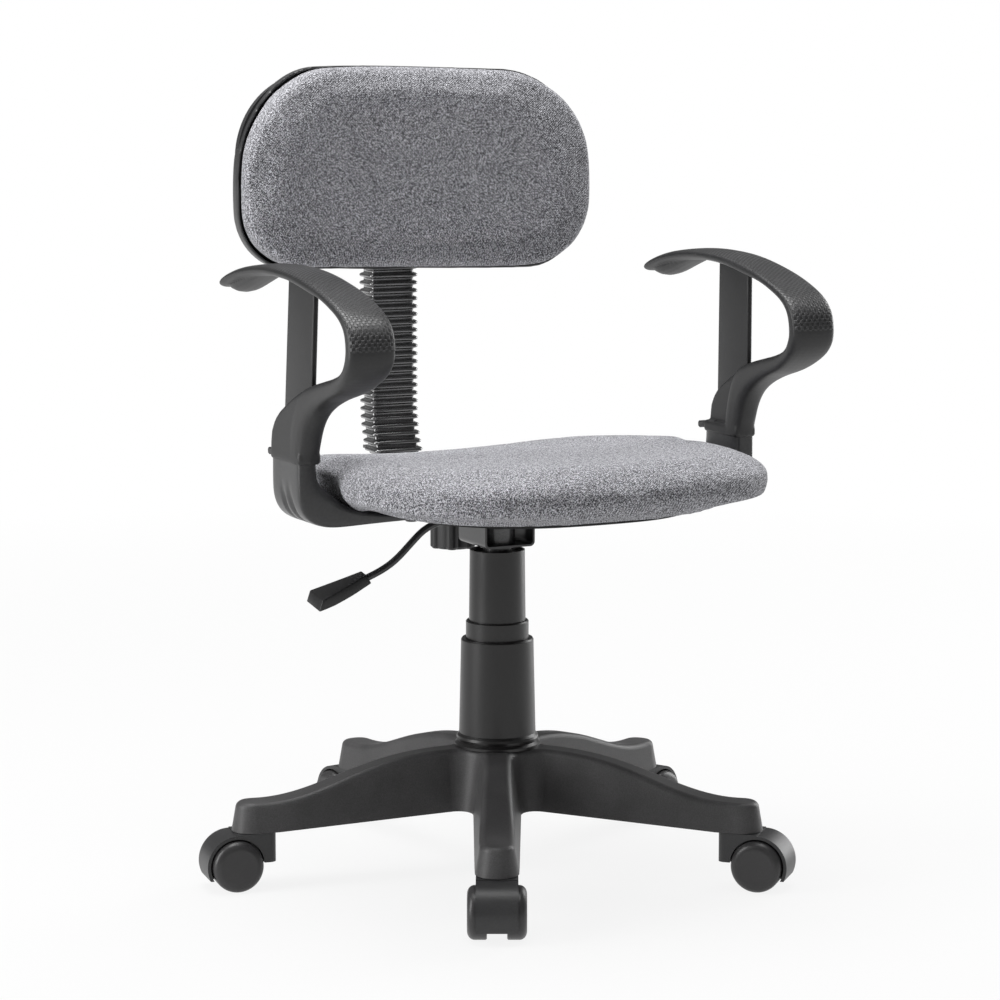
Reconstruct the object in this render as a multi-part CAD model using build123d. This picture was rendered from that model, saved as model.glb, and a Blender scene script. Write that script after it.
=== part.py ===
from build123d import *

import os
from math import asin, atan, cos, degrees, radians, sin, tan

# Height-adjustable task chair: five-star base on twin-wheel casters, gas lift with a
# telescopic cover, upholstered seat, loop arms and a low backrest on a bellows-covered bar.
# Millimetres. The origin is on the floor under the column, +Z is up, the sitter faces -Y.

# ---------------------------------------------------------------- clearances
RUN = 0.05            # radial play of a shaft or slide in its bore
GAP = 0.3             # space between neighbouring faces that do not bear on each other

# ---------------------------------------------------------------- casters
WHEEL_D = 50.0
WHEEL_W = 18.2
WHEEL_SPACING = 18.6  # between the inner faces of a pair
TREAD_EDGE = 1.0      # small bevel on the inner edge of the tread
DOME_DROP = 8.0       # how far the rounded outer edge falls in radius
DOME_W = 7.0
CASTER_TRAIL = 19.6   # from swivel axis to axle
HOOD_W = 39.0
HOOD_WALL = 3.2
TREAD_GAP = 1.6
HOOD_FOOT = 12.0      # floor to the lowest point of the hood
HOOD_LIP = 27.0       # floor to the hood's edge on the column side
HOOD_NECK = 19.5      # swivel axis to the hood's column-side face
HOOD_ROUND = 7.0
AXLE_D = 6.0
AXLE_GRIP = 14.0      # axle length inside each wheel
STEM_D = 11.0
STEM_GRIP = 24.0      # stem length inside the leg
STEM_ROOT = 17.0      # stem length inside the hood
STEM_FLANGE_D = 18.0
STEM_FLANGE_T = 1.5
SWIVEL_GAP = 0.5      # hood top to leg underside

# ---------------------------------------------------------------- base
LEG_COUNT = 5
FRONT_LEG_ANGLE = -116.5
LEG_REACH = 249.2
LEG_UNDERSIDE = 56.2
HUB_UNDERSIDE = 65.0
HUB_TOP = 124.0
HUB_FLAT_R = 45.0
LEG_END_TOP = 84.5
LEG_ARCH = 4.5        # rise of the leg's top line over a straight one
LEG_END_FALL = 5.0    # drop of the top line over the rounded leg end
LEG_ROOT_W = 52.0
LEG_END_R = 20.5
LEG_DRAFT = 10.0      # lean of the leg's side walls, degrees
LEG_WALL = 3.5
LEG_ROOT_ROUND = 15.0
LEG_EDGE_ROUND = 6.0
LEG_RIB_T = 2.5
LEG_RIBS = 4
STEM_BOSS_R = 9.5
HUB_SOCKET_WALL = 5.0

# ---------------------------------------------------------------- gas lift
TUBE_D = 50.0
TUBE_WALL = 1.5
TUBE_BOTTOM = 62.0
TUBE_TOP = 258.0
TUBE_FLOOR = 2.5
TUBE_TAPER = 0.8      # radius lost at the tube's lower end
BUSH_LENGTH = 80.0
CYLINDER_D = 28.0
CYLINDER_WALL = 1.8
CYLINDER_BOTTOM = 150.0
CYLINDER_TOP = 343.0
CYLINDER_CAP = 4.0
CYLINDER_HEAD = 14.0  # solid length under the tapered end
CONE_LENGTH = 27.0
CONE_DROP = 0.7
ROD_D = 10.0
ROD_END_D = 8.0
ROD_TOP = 246.0
PISTON_T = 10.0
BEARING_R = 14.0
RACE_T = 2.0
CAGE_T = 2.6
BUFFER_R = 13.0
BUFFER_T = 10.0
CLIP_R = 8.0
CLIP_T = 1.6
BUTTON_D = 5.0
BUTTON_REACH = 14.0
BUTTON_PROUD = 5.0

# ---------------------------------------------------------------- telescopic cover
COVER_WALL = 1.7
LOWER_FLANGE_R = 42.1
LOWER_FOOT_R = 38.6
LOWER_TOP_R = 35.7
LOWER_TOP = 231.0
LOWER_FOOT_H = 13.0
MIDDLE_R = 30.9
MIDDLE_TOP = 248.6
MIDDLE_LENGTH = 95.0
UPPER_TOP_R = 27.1
UPPER_LOW_R = 28.3
UPPER_TOP = 318.8
UPPER_LENGTH = 110.0
UPPER_WEB_DROP = 4.0  # rim height above the web that seats on the cylinder
COVER_LIP = 2.5

# ---------------------------------------------------------------- seat mechanism
SEAT_PLANE = 372.0    # underside of the seat board
PLATE_T = 2.5
PLATE_HALF_W = 70.0
PLATE_FRONT = -72.0
PLATE_REAR = 48.0
CHANNEL_REAR = 136.0
BOLT_X = 58.0
BOLT_EDGE = 12.0      # bolt centre to the plate's front or rear edge
STEEL_T = 2.0
BOX_HALF_W = 27.0
BOX_FRONT = -28.0
BOX_REAR = 31.0
BOX_BOTTOM = 324.0
BOX_ROUND = 5.0
SLEEVE_WALL = 3.3
SLEEVE_DROP = 2.5
BAR_W = 34.0
BAR_T = 6.0
BAR_Z = 352.0         # floor of the channel the back bar slides in
BAR_FRONT = 52.0
BAR_TOP = 700.0
BAR_BEND_R = 30.0
BACK_Y = 253.0        # centre plane of the upright bar
BOLT_D = 6.0
BOLT_HEAD_D = 12.0
BOLT_HEAD_T = 3.2
BOLT_GRIP = 9.0

# ---------------------------------------------------------------- lever and knobs
LEVER_D = 7.0
LEVER_PIVOT_X = 20.0
LEVER_PIN_D = 4.0
LEVER_BEND_X = 64.0
LEVER_END_X = 146.0
LEVER_END_Z = 295.5
LEVER_BEND_R = 45.0
HANDLE_LENGTH = 70.0
HANDLE_ROOT_W = 12.0
HANDLE_TIP_W = 30.0
HANDLE_ROOT_T = 9.0
HANDLE_TIP_T = 13.0
KNOB_R = 25.0
KNOB_H = 28.0
KNOB_LOBES = 6
KNOB_LOBE_R = 7.0
KNOB_STEM_D = 8.0
KNOB_NECK_R = 9.0
DEPTH_KNOB_Y = 99.0
DEPTH_KNOB_Z = 307.0
NUT_R = 8.0
NUT_T = 6.0
HEIGHT_KNOB_Z = 645.0
HEIGHT_KNOB_R = 22.0

# ---------------------------------------------------------------- seat
SEAT_HALF_W = 215.0
SEAT_FRONT = -287.0
SEAT_REAR = 100.0
SEAT_SIDE_BOW = 12.0
SEAT_FRONT_BOW = 28.0
SEAT_REAR_BOW = 3.0
SEAT_REAR_NARROW = 2.0
SEAT_FRONT_R = 180.0
SEAT_REAR_R = 78.0
SEAT_CROWN_RISE = 49.0  # board's underside to the top of the cushion
SEAT_BELT_RISE = 28.0   # board's underside to the widest line of the cushion
SEAT_LOW_RISE = 2.0
SEAT_TOP_ROLL = 0.25  # share of the half width over which the top rolls to the belt
SEAT_UNDER_ROLL = 0.43
SEAT_RAKE = 3.0       # backward slope of the cushion's top, degrees
SEAT_RAKE_Y = -50.0   # line about which the top slopes
SEAT_EDGE_POWER = 2.3  # above 2 squarer than an ellipse
BOARD_INSET = 50.0
BOARD_T = 12.0

# ---------------------------------------------------------------- arms
ARM_STAND = 10.0      # seat's side to the bracket's inner face
ARM_TRAVEL_TOP = 505.0
PAD_TOP = 606.0
PAD_T = 9.0
PAD_HALF_W = 20.5
CROWN_Y = -36.0       # highest point of the pad
PAD_FRONT_Y = -160.0  # where the pad turns down into the bulge
PAD_FRONT_DROP = 21.0
BULGE_FRONT = -215.0
BULGE_DROP = 62.0     # pad's crown to the foremost point of the bulge
BULGE_T = 15.0        # thickness of the band round the bulge
CHIN_Y = -150.0       # underside of the band between bulge and neck
CHIN_DROP = 108.0
CHIN_T = 14.0
NECK_Y = -102.0       # front of the neck where it turns down
NECK_DROP = 139.0
NECK_HALF_W = 14.0
TAIL_Y = 97.0
TAIL_DROP = 22.0
TAIL_LIP = 3.5        # thickness of the pad's rear edge
TAIL_CORE_FRONT = 8.0
TAIL_CORE_HALF_W = 14.0
TAIL_CORE_DEPTH = 8.0  # below the pad's rear edge
TAIL_CORE_ROUND = 5.0
SLEEVE_HALF_W = 11.0
SLEEVE_BOTTOM = 427.0
SLEEVE_FRONT = -79.0
SLEEVE_REAR = -17.0
SLEEVE_COLLAR_H = 10.0
SLEEVE_RIM = 4.0      # wall left behind the recess
SHOULDER_TOP = 466.0
POST_T = 6.6
POST_FRONT_LOW = -82.0
POST_FRONT_HIGH = -88.0
POST_REAR_LOW = -27.0
POST_REAR_HIGH = -34.0
POST_FOOT = 495.0     # where the post leaves the neck
STRUT_W = 22.0        # width of the neck's rib inside the sleeve
TONGUE_T = 3.0
TONGUE_FRONT = -72.0
TONGUE_REAR = -40.0
TONGUE_ROOT = 20.0    # length of the tongue moulded into the bracket
BRACKET_T = 17.0
BRACKET_FRONT = -78.0
BRACKET_REAR = -15.0
BRACKET_BEND_R = 24.0
BRACKET_INNER_R = 16.0
FOOT_T = 6.5
FOOT_END_X = 110.0
FOOT_TAPER = 9.0
FOOT_ROUND = 8.0
BRACKET_EDGE_ROUND = 3.0
FLUTE_R = 5.5
FLUTE_PROUD = 1.5     # flute axis outside the bracket's outer face at the foot
FLUTE_SPACING = 18.0
FLUTE_LEAN = 25.0
FLUTE_LENGTH = 60.0
ARM_BOLT_PITCH = 30.0
ARM_BOLT_SPREAD = 24.0
ARM_BOLT_EDGE = 10.0
LATCH_HALF_W = 8.0
LATCH_T = 7.0
LATCH_TIP = -3.0
LATCH_ROOT = -34.0
LATCH_LIP = 5.0
LATCH_LIFT = 1.5      # sleeve's lower edge to the latch
LATCH_CROWN = 7.5     # latch to the start of the shoulder
LATCH_TRAVEL = 3.0

# ---------------------------------------------------------------- backrest
BACK_HALF_W = 191.0
BACK_Z = 681.5
BACK_HALF_H = 92.0
BACK_BOW = 13.0
BACK_TOP_R = 90.0
BACK_LOW_R = 66.0
BACK_REAR_Y = 222.0
BACK_WRAP = 11.0      # how far the side edges stand forward of the middle
BACK_TILT = 2.0
SHELL_DEPTH = 17.0
SHELL_WALL = 3.0
SHELL_ROUND = 6.0
PANEL_T = 8.0
CUSHION_FRONT = 49.0  # cushion face ahead of the shell's back
CUSHION_ROUND = 14.0
HOUSING_HALF_W = 28.0
HOUSING_REAR = 276.0
HOUSING_LOW = 583.0
HOUSING_TOP = 745.0
HOUSING_WALL = 2.5
HOUSING_ROUND = 8.0
GUIDE_H = 20.0
FLANGE_HALF_W = 46.0
FLANGE_T = 4.0
BACK_SCREW_X = 37.0
BACK_SCREW_DZ = 45.0
BACK_SCREW_D = 5.0

# ---------------------------------------------------------------- bellows
BELLOWS_W = 50.0
BELLOWS_DEPTH = 44.0
BELLOWS_LOW = 392.0
PLEAT_PITCH = 8.1
PLEAT_DEPTH = 3.4
PLEAT_SHARE = 0.55    # part of each pitch taken by the outer fold
BELLOWS_WALL = 1.2
BELLOWS_CORNER = 5.0

# ---------------------------------------------------------------- derived places
WHEEL_R = WHEEL_D / 2
AXLE_R = AXLE_D / 2
STEM_R = STEM_D / 2
HOOD_TOP = LEG_UNDERSIDE - SWIVEL_GAP
TUBE_R = TUBE_D / 2
CYLINDER_R = CYLINDER_D / 2
ROD_R = ROD_D / 2
ROD_END_R = ROD_END_D / 2
BUTTON_R = BUTTON_D / 2
PLATE_LOW = SEAT_PLANE - PLATE_T
BUTTON_TOP = CYLINDER_TOP + BUTTON_PROUD
LEVER_Z = BUTTON_TOP + 0.6 + LEVER_D / 2
BAR_LOW = BAR_Z + RUN
BAR_HIGH = BAR_LOW + BAR_T
FOOT_LOW = SEAT_PLANE - FOOT_T
SEAT_TOP = SEAT_PLANE + SEAT_CROWN_RISE
SEAT_BELT = SEAT_PLANE + SEAT_BELT_RISE
SEAT_LOW = SEAT_PLANE + SEAT_LOW_RISE
ARM_X = SEAT_HALF_W + ARM_STAND + BRACKET_T / 2
BRACKET_MID = (BRACKET_FRONT + BRACKET_REAR) / 2
BELLOWS_TOP = HOUSING_LOW - GAP

os.makedirs("parts", exist_ok=True)


def save(name, shape):
    export_step(shape, f"parts/{name}.step")


def ring(outer, inner, low, high):
    """Plain ring about the Z axis."""
    tall = high - low
    return Pos(0, 0, (low + high) / 2) * (Cylinder(outer, tall) - Cylinder(inner, tall))


def disc(radius, low, high):
    return Pos(0, 0, (low + high) / 2) * Cylinder(radius, high - low)


def block(x0, x1, y0, y1, z0, z1):
    centre = Pos((x0 + x1) / 2, (y0 + y1) / 2, (z0 + z1) / 2)
    return centre * Box(x1 - x0, y1 - y0, z1 - z0)


def turned(points):
    """Solid of revolution about Z from a closed outline of (radius, height) points."""
    return revolve(Plane.XZ * make_face(Polyline(*points, close=True)), Axis.Z)


def cross_pin(radius, half, x, z):
    """Cylinder along Y, centred on the XZ plane."""
    return Pos(x, 0, z) * Rot(90, 0, 0) * Cylinder(radius, 2 * half)


# ================================================================ casters
def caster_hood():
    """Nylon hood: a fender over both treads, a web between the wheels and a square neck."""
    fender_r = WHEEL_R + TREAD_GAP + HOOD_WALL
    outline = Pos(CASTER_TRAIL, WHEEL_R) * Circle(fender_r)
    neck_w = CASTER_TRAIL + HOOD_NECK
    neck = Pos(neck_w / 2 - HOOD_NECK, (HOOD_LIP + HOOD_TOP) / 2)
    outline += neck * Rectangle(neck_w, HOOD_TOP - HOOD_LIP)
    span = 4 * fender_r
    outline &= Pos(0, HOOD_FOOT + span / 2) * Rectangle(2 * span, span)
    below_lip = Pos(CASTER_TRAIL - span / 2 - AXLE_D, HOOD_LIP - span / 2)
    outline -= below_lip * Rectangle(span, span)
    outline &= Pos(0, HOOD_TOP - span / 2) * Rectangle(2 * span, span)
    hood = extrude(Plane.XZ * outline, HOOD_W / 2, both=True)
    upright = hood.edges().filter_by(Axis.Z).sort_by(Axis.X)[:2]
    hood = fillet(upright, HOOD_ROUND)
    web = WHEEL_SPACING / 2 - GAP
    pocket_w = HOOD_W / 2 - web
    for side in (-1, 1):
        place = Pos(CASTER_TRAIL, side * (web + pocket_w), WHEEL_R)
        hood -= place * Rot(90, 0, 0) * Cylinder(WHEEL_R + TREAD_GAP, 2 * pocket_w)
    hood -= cross_pin(AXLE_R + RUN, HOOD_W, CASTER_TRAIL, WHEEL_R)
    hood -= disc(STEM_R + RUN, HOOD_TOP - STEM_ROOT - GAP, HOOD_TOP)
    hood -= disc(STEM_FLANGE_D / 2 + RUN, HOOD_TOP - STEM_FLANGE_T - RUN, HOOD_TOP)
    return hood


def caster_stem():
    low = HOOD_TOP - STEM_ROOT
    top = LEG_UNDERSIDE + STEM_GRIP
    stem = disc(STEM_R, low, top)
    stem = chamfer(stem.edges().sort_by(Axis.Z)[-1], 1.0)
    return stem + disc(STEM_FLANGE_D / 2, HOOD_TOP - STEM_FLANGE_T, HOOD_TOP)


def caster_axle():
    return cross_pin(AXLE_R, WHEEL_SPACING / 2 + AXLE_GRIP, CASTER_TRAIL, WHEEL_R)


def caster_wheel(side):
    """Solid nylon wheel with a bevelled inner edge and a domed outer face."""
    square_w = WHEEL_W - DOME_W
    outline = Polyline((0, 0), (WHEEL_R - TREAD_EDGE, 0), (WHEEL_R, TREAD_EDGE), (WHEEL_R, square_w))
    dome_face = WHEEL_R - DOME_DROP
    outline += EllipticalCenterArc((dome_face, square_w), DOME_DROP, DOME_W, start_angle=0, arc_size=90)
    outline += Polyline((dome_face, WHEEL_W), (0, WHEEL_W), (0, 0))
    wheel = revolve(Plane.XZ * make_face(outline), Axis.Z)
    wheel -= disc(AXLE_R + RUN, 0, AXLE_GRIP + 2 * GAP)
    turn = Rot(-90, 0, 0) if side > 0 else Rot(90, 0, 0)
    return Pos(CASTER_TRAIL, side * WHEEL_SPACING / 2, WHEEL_R) * turn * wheel


def build_casters():
    pieces = {
        "hood": caster_hood(),
        "stem": caster_stem(),
        "axle": caster_axle(),
        "wheel_left": caster_wheel(1),
        "wheel_right": caster_wheel(-1),
    }
    for number in range(LEG_COUNT):
        angle = FRONT_LEG_ANGLE + number * 360 / LEG_COUNT
        place = Rot(0, 0, angle) * Pos(LEG_REACH, 0, 0)
        for name, piece in pieces.items():
            save(f"caster_{number + 1}_{name}", place * piece)


# ================================================================ base
def star_plan(inset):
    """Plan of the five legs at their lower edge, with rounded roots and ends."""
    root = LEG_ROOT_W / 2 - inset
    end = LEG_END_R - inset
    lean = asin((root - end) / LEG_REACH)
    y0 = root / cos(lean)
    x1, y1 = LEG_REACH + end * sin(lean), end * cos(lean)
    sides = Polyline((x1, -y1), (0, -y0), (0, y0), (x1, y1))
    leg = make_face(sides + ThreePointArc((x1, y1), (LEG_REACH + end, 0), (x1, -y1)))
    star = leg
    for number in range(1, LEG_COUNT):
        star += Rot(0, 0, number * 360 / LEG_COUNT) * leg
    star = star.clean()
    roots = [v for v in star.vertices() if (v.X ** 2 + v.Y ** 2) < (LEG_REACH / 3) ** 2]
    return fillet(roots, LEG_ROOT_ROUND + inset)


def star_block(inset, tall):
    """Star with leaning side walls, from the legs' lower edge upwards."""
    upper = star_plan(inset + tall * tan(radians(LEG_DRAFT)))
    return Pos(0, 0, LEG_UNDERSIDE) * loft([star_plan(inset), Pos(0, 0, tall) * upper], ruled=True)


def star_envelope(wall):
    """Turned body that gives the arched top line and the rising underside."""
    top = HUB_TOP - wall
    rim = LEG_REACH + LEG_END_R + 5.0
    end_top = LEG_END_TOP - wall
    low = LEG_UNDERSIDE - wall
    knee = LEG_REACH - LEG_END_R / 2
    middle = (HUB_FLAT_R + knee) / 2
    arch = Spline(
        (HUB_FLAT_R, top), (middle, (top + end_top) / 2 + LEG_ARCH), (knee, end_top),
        (rim, end_top - LEG_END_FALL), tangents=[(1, 0), (0.8, -0.6)]
    )
    rest = Polyline(
        (rim, end_top - LEG_END_FALL), (rim, low), (LEG_REACH - LEG_END_R, low),
        (HUB_FLAT_R, HUB_UNDERSIDE - wall), (0, HUB_UNDERSIDE - wall), (0, top), (HUB_FLAT_R, top)
    )
    return revolve(Plane.XZ * make_face(arch + rest), Axis.Z)


def base_star():
    """Moulded star, hollow underneath, with a socket for the column and ribbed legs."""
    tall = HUB_TOP - LEG_UNDERSIDE + 6.0
    skin = star_block(0, tall) & star_envelope(0)
    upper = [e for e in skin.edges() if e.center().Z > LEG_END_TOP - 2 * LEG_END_FALL]
    hub = Vector(0, 0, HUB_TOP)
    rims = [e for e in upper if abs((e @ 1 - e @ 0).Z) < (e @ 1 - e @ 0).length * 0.7]
    rims = [e for e in rims if abs((e @ 0.5 - hub).length - HUB_FLAT_R) > 0.1]
    skin = fillet(rims, LEG_EDGE_ROUND)
    core = star_block(LEG_WALL, tall) & star_envelope(LEG_WALL)
    socket_r = TUBE_R + HUB_SOCKET_WALL
    filling = disc(socket_r, HUB_UNDERSIDE, HUB_TOP)
    half_rib = LEG_RIB_T / 2
    for number in range(LEG_COUNT):
        turn = Rot(0, 0, number * 360 / LEG_COUNT)
        filling += turn * block(socket_r - 1, LEG_REACH, -half_rib, half_rib, HUB_UNDERSIDE, HUB_TOP)
        filling += turn * Pos(LEG_REACH, 0, 0) * disc(STEM_BOSS_R, LEG_UNDERSIDE, HUB_TOP)
        for step in range(1, LEG_RIBS + 1):
            x = socket_r + step * (LEG_REACH - socket_r) / (LEG_RIBS + 1)
            filling += turn * block(x - half_rib, x + half_rib, -LEG_ROOT_W, LEG_ROOT_W, HUB_UNDERSIDE, HUB_TOP)
    star = skin - (core - filling)
    star -= column_cone(RUN)
    for number in range(LEG_COUNT):
        turn = Rot(0, 0, number * 360 / LEG_COUNT)
        socket = disc(STEM_R + RUN, LEG_UNDERSIDE - 1, LEG_UNDERSIDE + STEM_GRIP + GAP)
        star -= turn * Pos(LEG_REACH, 0, 0) * socket
    return Rot(0, 0, FRONT_LEG_ANGLE) * star


def column_cone(play):
    """Tapered lower end of the column tube, or its socket when play is given."""
    low = TUBE_BOTTOM - play
    small = TUBE_R - TUBE_TAPER + play
    big = TUBE_R + play
    return turned([(0, low), (small, low), (big, HUB_TOP), (0, HUB_TOP)])


# ================================================================ gas lift
def column_tube():
    body = column_cone(0) + disc(TUBE_R, HUB_TOP, TUBE_TOP)
    body -= disc(TUBE_R - TUBE_WALL - TUBE_TAPER, TUBE_BOTTOM + TUBE_FLOOR, HUB_TOP)
    body -= disc(TUBE_R - TUBE_WALL, HUB_TOP, TUBE_TOP)
    return body - disc(ROD_END_R + RUN, TUBE_BOTTOM, TUBE_BOTTOM + TUBE_FLOOR)


def guide_bush():
    return ring(TUBE_R - TUBE_WALL, CYLINDER_R + RUN, TUBE_TOP - BUSH_LENGTH, TUBE_TOP)


def thrust_bearing():
    """Two flat races with the ball cage between them."""
    low = TUBE_BOTTOM + TUBE_FLOOR + RUN
    bearing = ring(BEARING_R, ROD_END_R + RUN, low, low + RACE_T)
    cage_low = low + RACE_T
    bearing += ring(BEARING_R - 1.5, ROD_END_R + 2.0, cage_low, cage_low + CAGE_T)
    upper = cage_low + CAGE_T
    return bearing + ring(BEARING_R, ROD_END_R + RUN, upper, upper + RACE_T)


BEARING_TOP = TUBE_BOTTOM + TUBE_FLOOR + RUN + 2 * RACE_T + CAGE_T


def piston_rod():
    """Rod with its shoulder on the bearing, a thin lower end and the piston on top."""
    rod = disc(ROD_R, BEARING_TOP, ROD_TOP)
    rod += disc(ROD_END_R, TUBE_BOTTOM - CLIP_T - 2 * GAP, BEARING_TOP)
    return rod + disc(CYLINDER_R - CYLINDER_WALL - RUN, ROD_TOP - PISTON_T, ROD_TOP)


def rod_clip():
    top = TUBE_BOTTOM - RUN
    clip = ring(CLIP_R, ROD_END_R, top - CLIP_T, top)
    return clip - block(0, CLIP_R, -1.5, 1.5, top - CLIP_T, top)


def rod_buffer():
    return ring(BUFFER_R, ROD_R, BEARING_TOP, BEARING_TOP + BUFFER_T)


def gas_cylinder():
    """Pressure tube: closed foot round the rod, solid tapered head with the release bore."""
    neck = CYLINDER_TOP - CONE_LENGTH
    body = turned([
        (0, CYLINDER_BOTTOM), (CYLINDER_R, CYLINDER_BOTTOM), (CYLINDER_R, neck),
        (CYLINDER_R - CONE_DROP, CYLINDER_TOP), (0, CYLINDER_TOP)
    ])
    body -= disc(CYLINDER_R - CYLINDER_WALL, CYLINDER_BOTTOM + CYLINDER_CAP, neck - CYLINDER_HEAD)
    body -= disc(ROD_R + RUN, CYLINDER_BOTTOM, CYLINDER_BOTTOM + CYLINDER_CAP)
    return body - disc(BUTTON_R + RUN, CYLINDER_TOP - BUTTON_REACH, CYLINDER_TOP)


def release_button():
    return disc(BUTTON_R, CYLINDER_TOP - BUTTON_REACH + 4.0, BUTTON_TOP)


# ================================================================ telescopic cover
def cover_lower():
    """Lower section with a stepped, beaded foot that stands on the hub."""
    foot = HUB_TOP + LOWER_FOOT_H
    wall = COVER_WALL
    lip = MIDDLE_R + GAP
    return turned([
        (LOWER_FLANGE_R - wall - 1.5, HUB_TOP), (LOWER_FLANGE_R, HUB_TOP), (LOWER_FLANGE_R, HUB_TOP + 2.6),
        (LOWER_FOOT_R + 0.6, HUB_TOP + 5.0), (LOWER_FOOT_R + 1.8, HUB_TOP + 8.0),
        (LOWER_FOOT_R + 1.2, HUB_TOP + 10.5), (LOWER_FOOT_R - 0.8, foot),
        (LOWER_TOP_R, LOWER_TOP - 1.5), (LOWER_TOP_R - 1.0, LOWER_TOP), (lip, LOWER_TOP),
        (lip, LOWER_TOP - COVER_LIP), (LOWER_TOP_R - wall, LOWER_TOP - COVER_LIP - 2.0),
        (LOWER_FOOT_R - 0.8 - wall, foot)
    ])


def cover_middle():
    low = MIDDLE_TOP - MIDDLE_LENGTH
    lip = UPPER_LOW_R + GAP
    inner = MIDDLE_R - COVER_WALL
    return turned([
        (inner, low), (MIDDLE_R + 1.4, low), (MIDDLE_R + 1.4, low + 3.0), (MIDDLE_R, low + 4.5),
        (MIDDLE_R, MIDDLE_TOP - 1.0), (MIDDLE_R - 0.8, MIDDLE_TOP), (lip, MIDDLE_TOP),
        (lip, MIDDLE_TOP - COVER_LIP), (inner, MIDDLE_TOP - COVER_LIP - 1.0)
    ])


def cover_upper():
    """Upper section, hung on the cylinder by a web a little below its rim."""
    low = UPPER_TOP - UPPER_LENGTH
    web_top = UPPER_TOP - UPPER_WEB_DROP
    bore = CYLINDER_R
    return turned([
        (UPPER_LOW_R - COVER_WALL, low), (UPPER_LOW_R, low), (UPPER_TOP_R, UPPER_TOP),
        (UPPER_TOP_R - COVER_WALL, UPPER_TOP), (UPPER_TOP_R - COVER_WALL, web_top), (bore, web_top),
        (bore, web_top - COVER_WALL), (UPPER_TOP_R - COVER_WALL, web_top - COVER_WALL)
    ])


# ================================================================ seat mechanism
BOLT_SPOTS = [(x, y) for x in (-BOLT_X, BOLT_X) for y in (PLATE_FRONT + BOLT_EDGE, PLATE_REAR - BOLT_EDGE)]


def seat_mechanism():
    """Pressed plate, front box round the lift and rear channel that holds the back bar."""
    plate_d = PLATE_REAR - PLATE_FRONT
    plate = RectangleRounded(2 * PLATE_HALF_W, plate_d, 14.0)
    mech = Pos(0, (PLATE_FRONT + PLATE_REAR) / 2, PLATE_LOW) * extrude(plate, PLATE_T)
    for x, y in BOLT_SPOTS:
        mech -= Pos(x, y, 0) * disc(BOLT_D / 2 + GAP, PLATE_LOW, SEAT_PLANE)
    box_h = PLATE_LOW - BOX_BOTTOM
    shell = block(-BOX_HALF_W, BOX_HALF_W, BOX_FRONT, BOX_REAR, BOX_BOTTOM, PLATE_LOW)
    lower = shell.edges().filter_by(Axis.Y).group_by(Axis.Z)[0]
    shell = fillet(lower, BOX_ROUND)
    inside = block(
        -BOX_HALF_W + STEEL_T, BOX_HALF_W - STEEL_T, BOX_FRONT, BOX_REAR,
        BOX_BOTTOM + STEEL_T, BOX_BOTTOM + STEEL_T + box_h
    )
    lower = inside.edges().filter_by(Axis.Y).group_by(Axis.Z)[0]
    inside = fillet(lower, BOX_ROUND - STEEL_T)
    shell -= inside & disc(4 * BOX_HALF_W, BOX_BOTTOM, PLATE_LOW)
    cone_low = CYLINDER_TOP - CONE_LENGTH
    shell -= disc(CYLINDER_R + SLEEVE_WALL, cone_low, BOX_BOTTOM + STEEL_T)
    slot = BOX_HALF_W - STEEL_T / 2
    shell -= block(-slot - STEEL_T, -slot + STEEL_T, -LEVER_D, LEVER_D, LEVER_Z - LEVER_D, LEVER_Z + LEVER_D)
    mech += shell
    for side in (-1, 1):
        near = LEVER_D / 2 + GAP
        ear = block(
            -LEVER_PIVOT_X - 6, -LEVER_PIVOT_X + 6, near, near + STEEL_T,
            LEVER_Z - 6, PLATE_LOW
        )
        ear -= cross_pin(LEVER_PIN_D / 2 + RUN, 20, -LEVER_PIVOT_X, LEVER_Z)
        mech += ear if side > 0 else mirror(ear, Plane.XZ)
    bar_half = BAR_W / 2 + RUN
    roof = BAR_HIGH + RUN
    channel = block(
        -bar_half - STEEL_T, bar_half + STEEL_T, BOX_REAR - STEEL_T, CHANNEL_REAR,
        BAR_Z - STEEL_T, PLATE_LOW
    )
    channel -= block(-bar_half, bar_half, BOX_REAR - STEEL_T, CHANNEL_REAR, BAR_Z, roof)
    channel -= block(-bar_half, bar_half, BOX_REAR - STEEL_T, CHANNEL_REAR, roof + STEEL_T, PLATE_LOW)
    nut = Pos(0, DEPTH_KNOB_Y, BAR_Z - STEEL_T - NUT_T) * extrude(RegularPolygon(NUT_R, 6), NUT_T)
    channel += nut
    channel -= Pos(0, DEPTH_KNOB_Y, 0) * disc(KNOB_STEM_D / 2 + RUN, BAR_Z - STEEL_T - NUT_T, BAR_Z)
    return mech + channel


def taper_sleeve():
    """Tapered steel sleeve welded in the box; it grips the cylinder's cone."""
    low = BOX_BOTTOM - SLEEVE_DROP
    high = CYLINDER_TOP - 2.0
    outer = CYLINDER_R + SLEEVE_WALL
    rate = CONE_DROP / CONE_LENGTH
    start = CYLINDER_TOP - CONE_LENGTH
    r_low = CYLINDER_R - rate * (low - start)
    r_high = CYLINDER_R - rate * (high - start)
    return turned([(r_low, low), (outer, low), (outer, high), (r_high, high)])


def lever_rod():
    """Bent steel rod, pinned in the box, its inner end over the release button."""
    path = FilletPolyline(
        (BUTTON_R * 0.4, 0, LEVER_Z), (-LEVER_BEND_X, 0, LEVER_Z), (-LEVER_END_X, 0, LEVER_END_Z),
        radius=LEVER_BEND_R
    )
    rod = sweep(Plane(origin=path @ 0, z_dir=path % 0) * Circle(LEVER_D / 2), path=path)
    pin = cross_pin(LEVER_PIN_D / 2, LEVER_D / 2 + GAP + STEEL_T, -LEVER_PIVOT_X, LEVER_Z)
    return rod + pin


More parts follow.
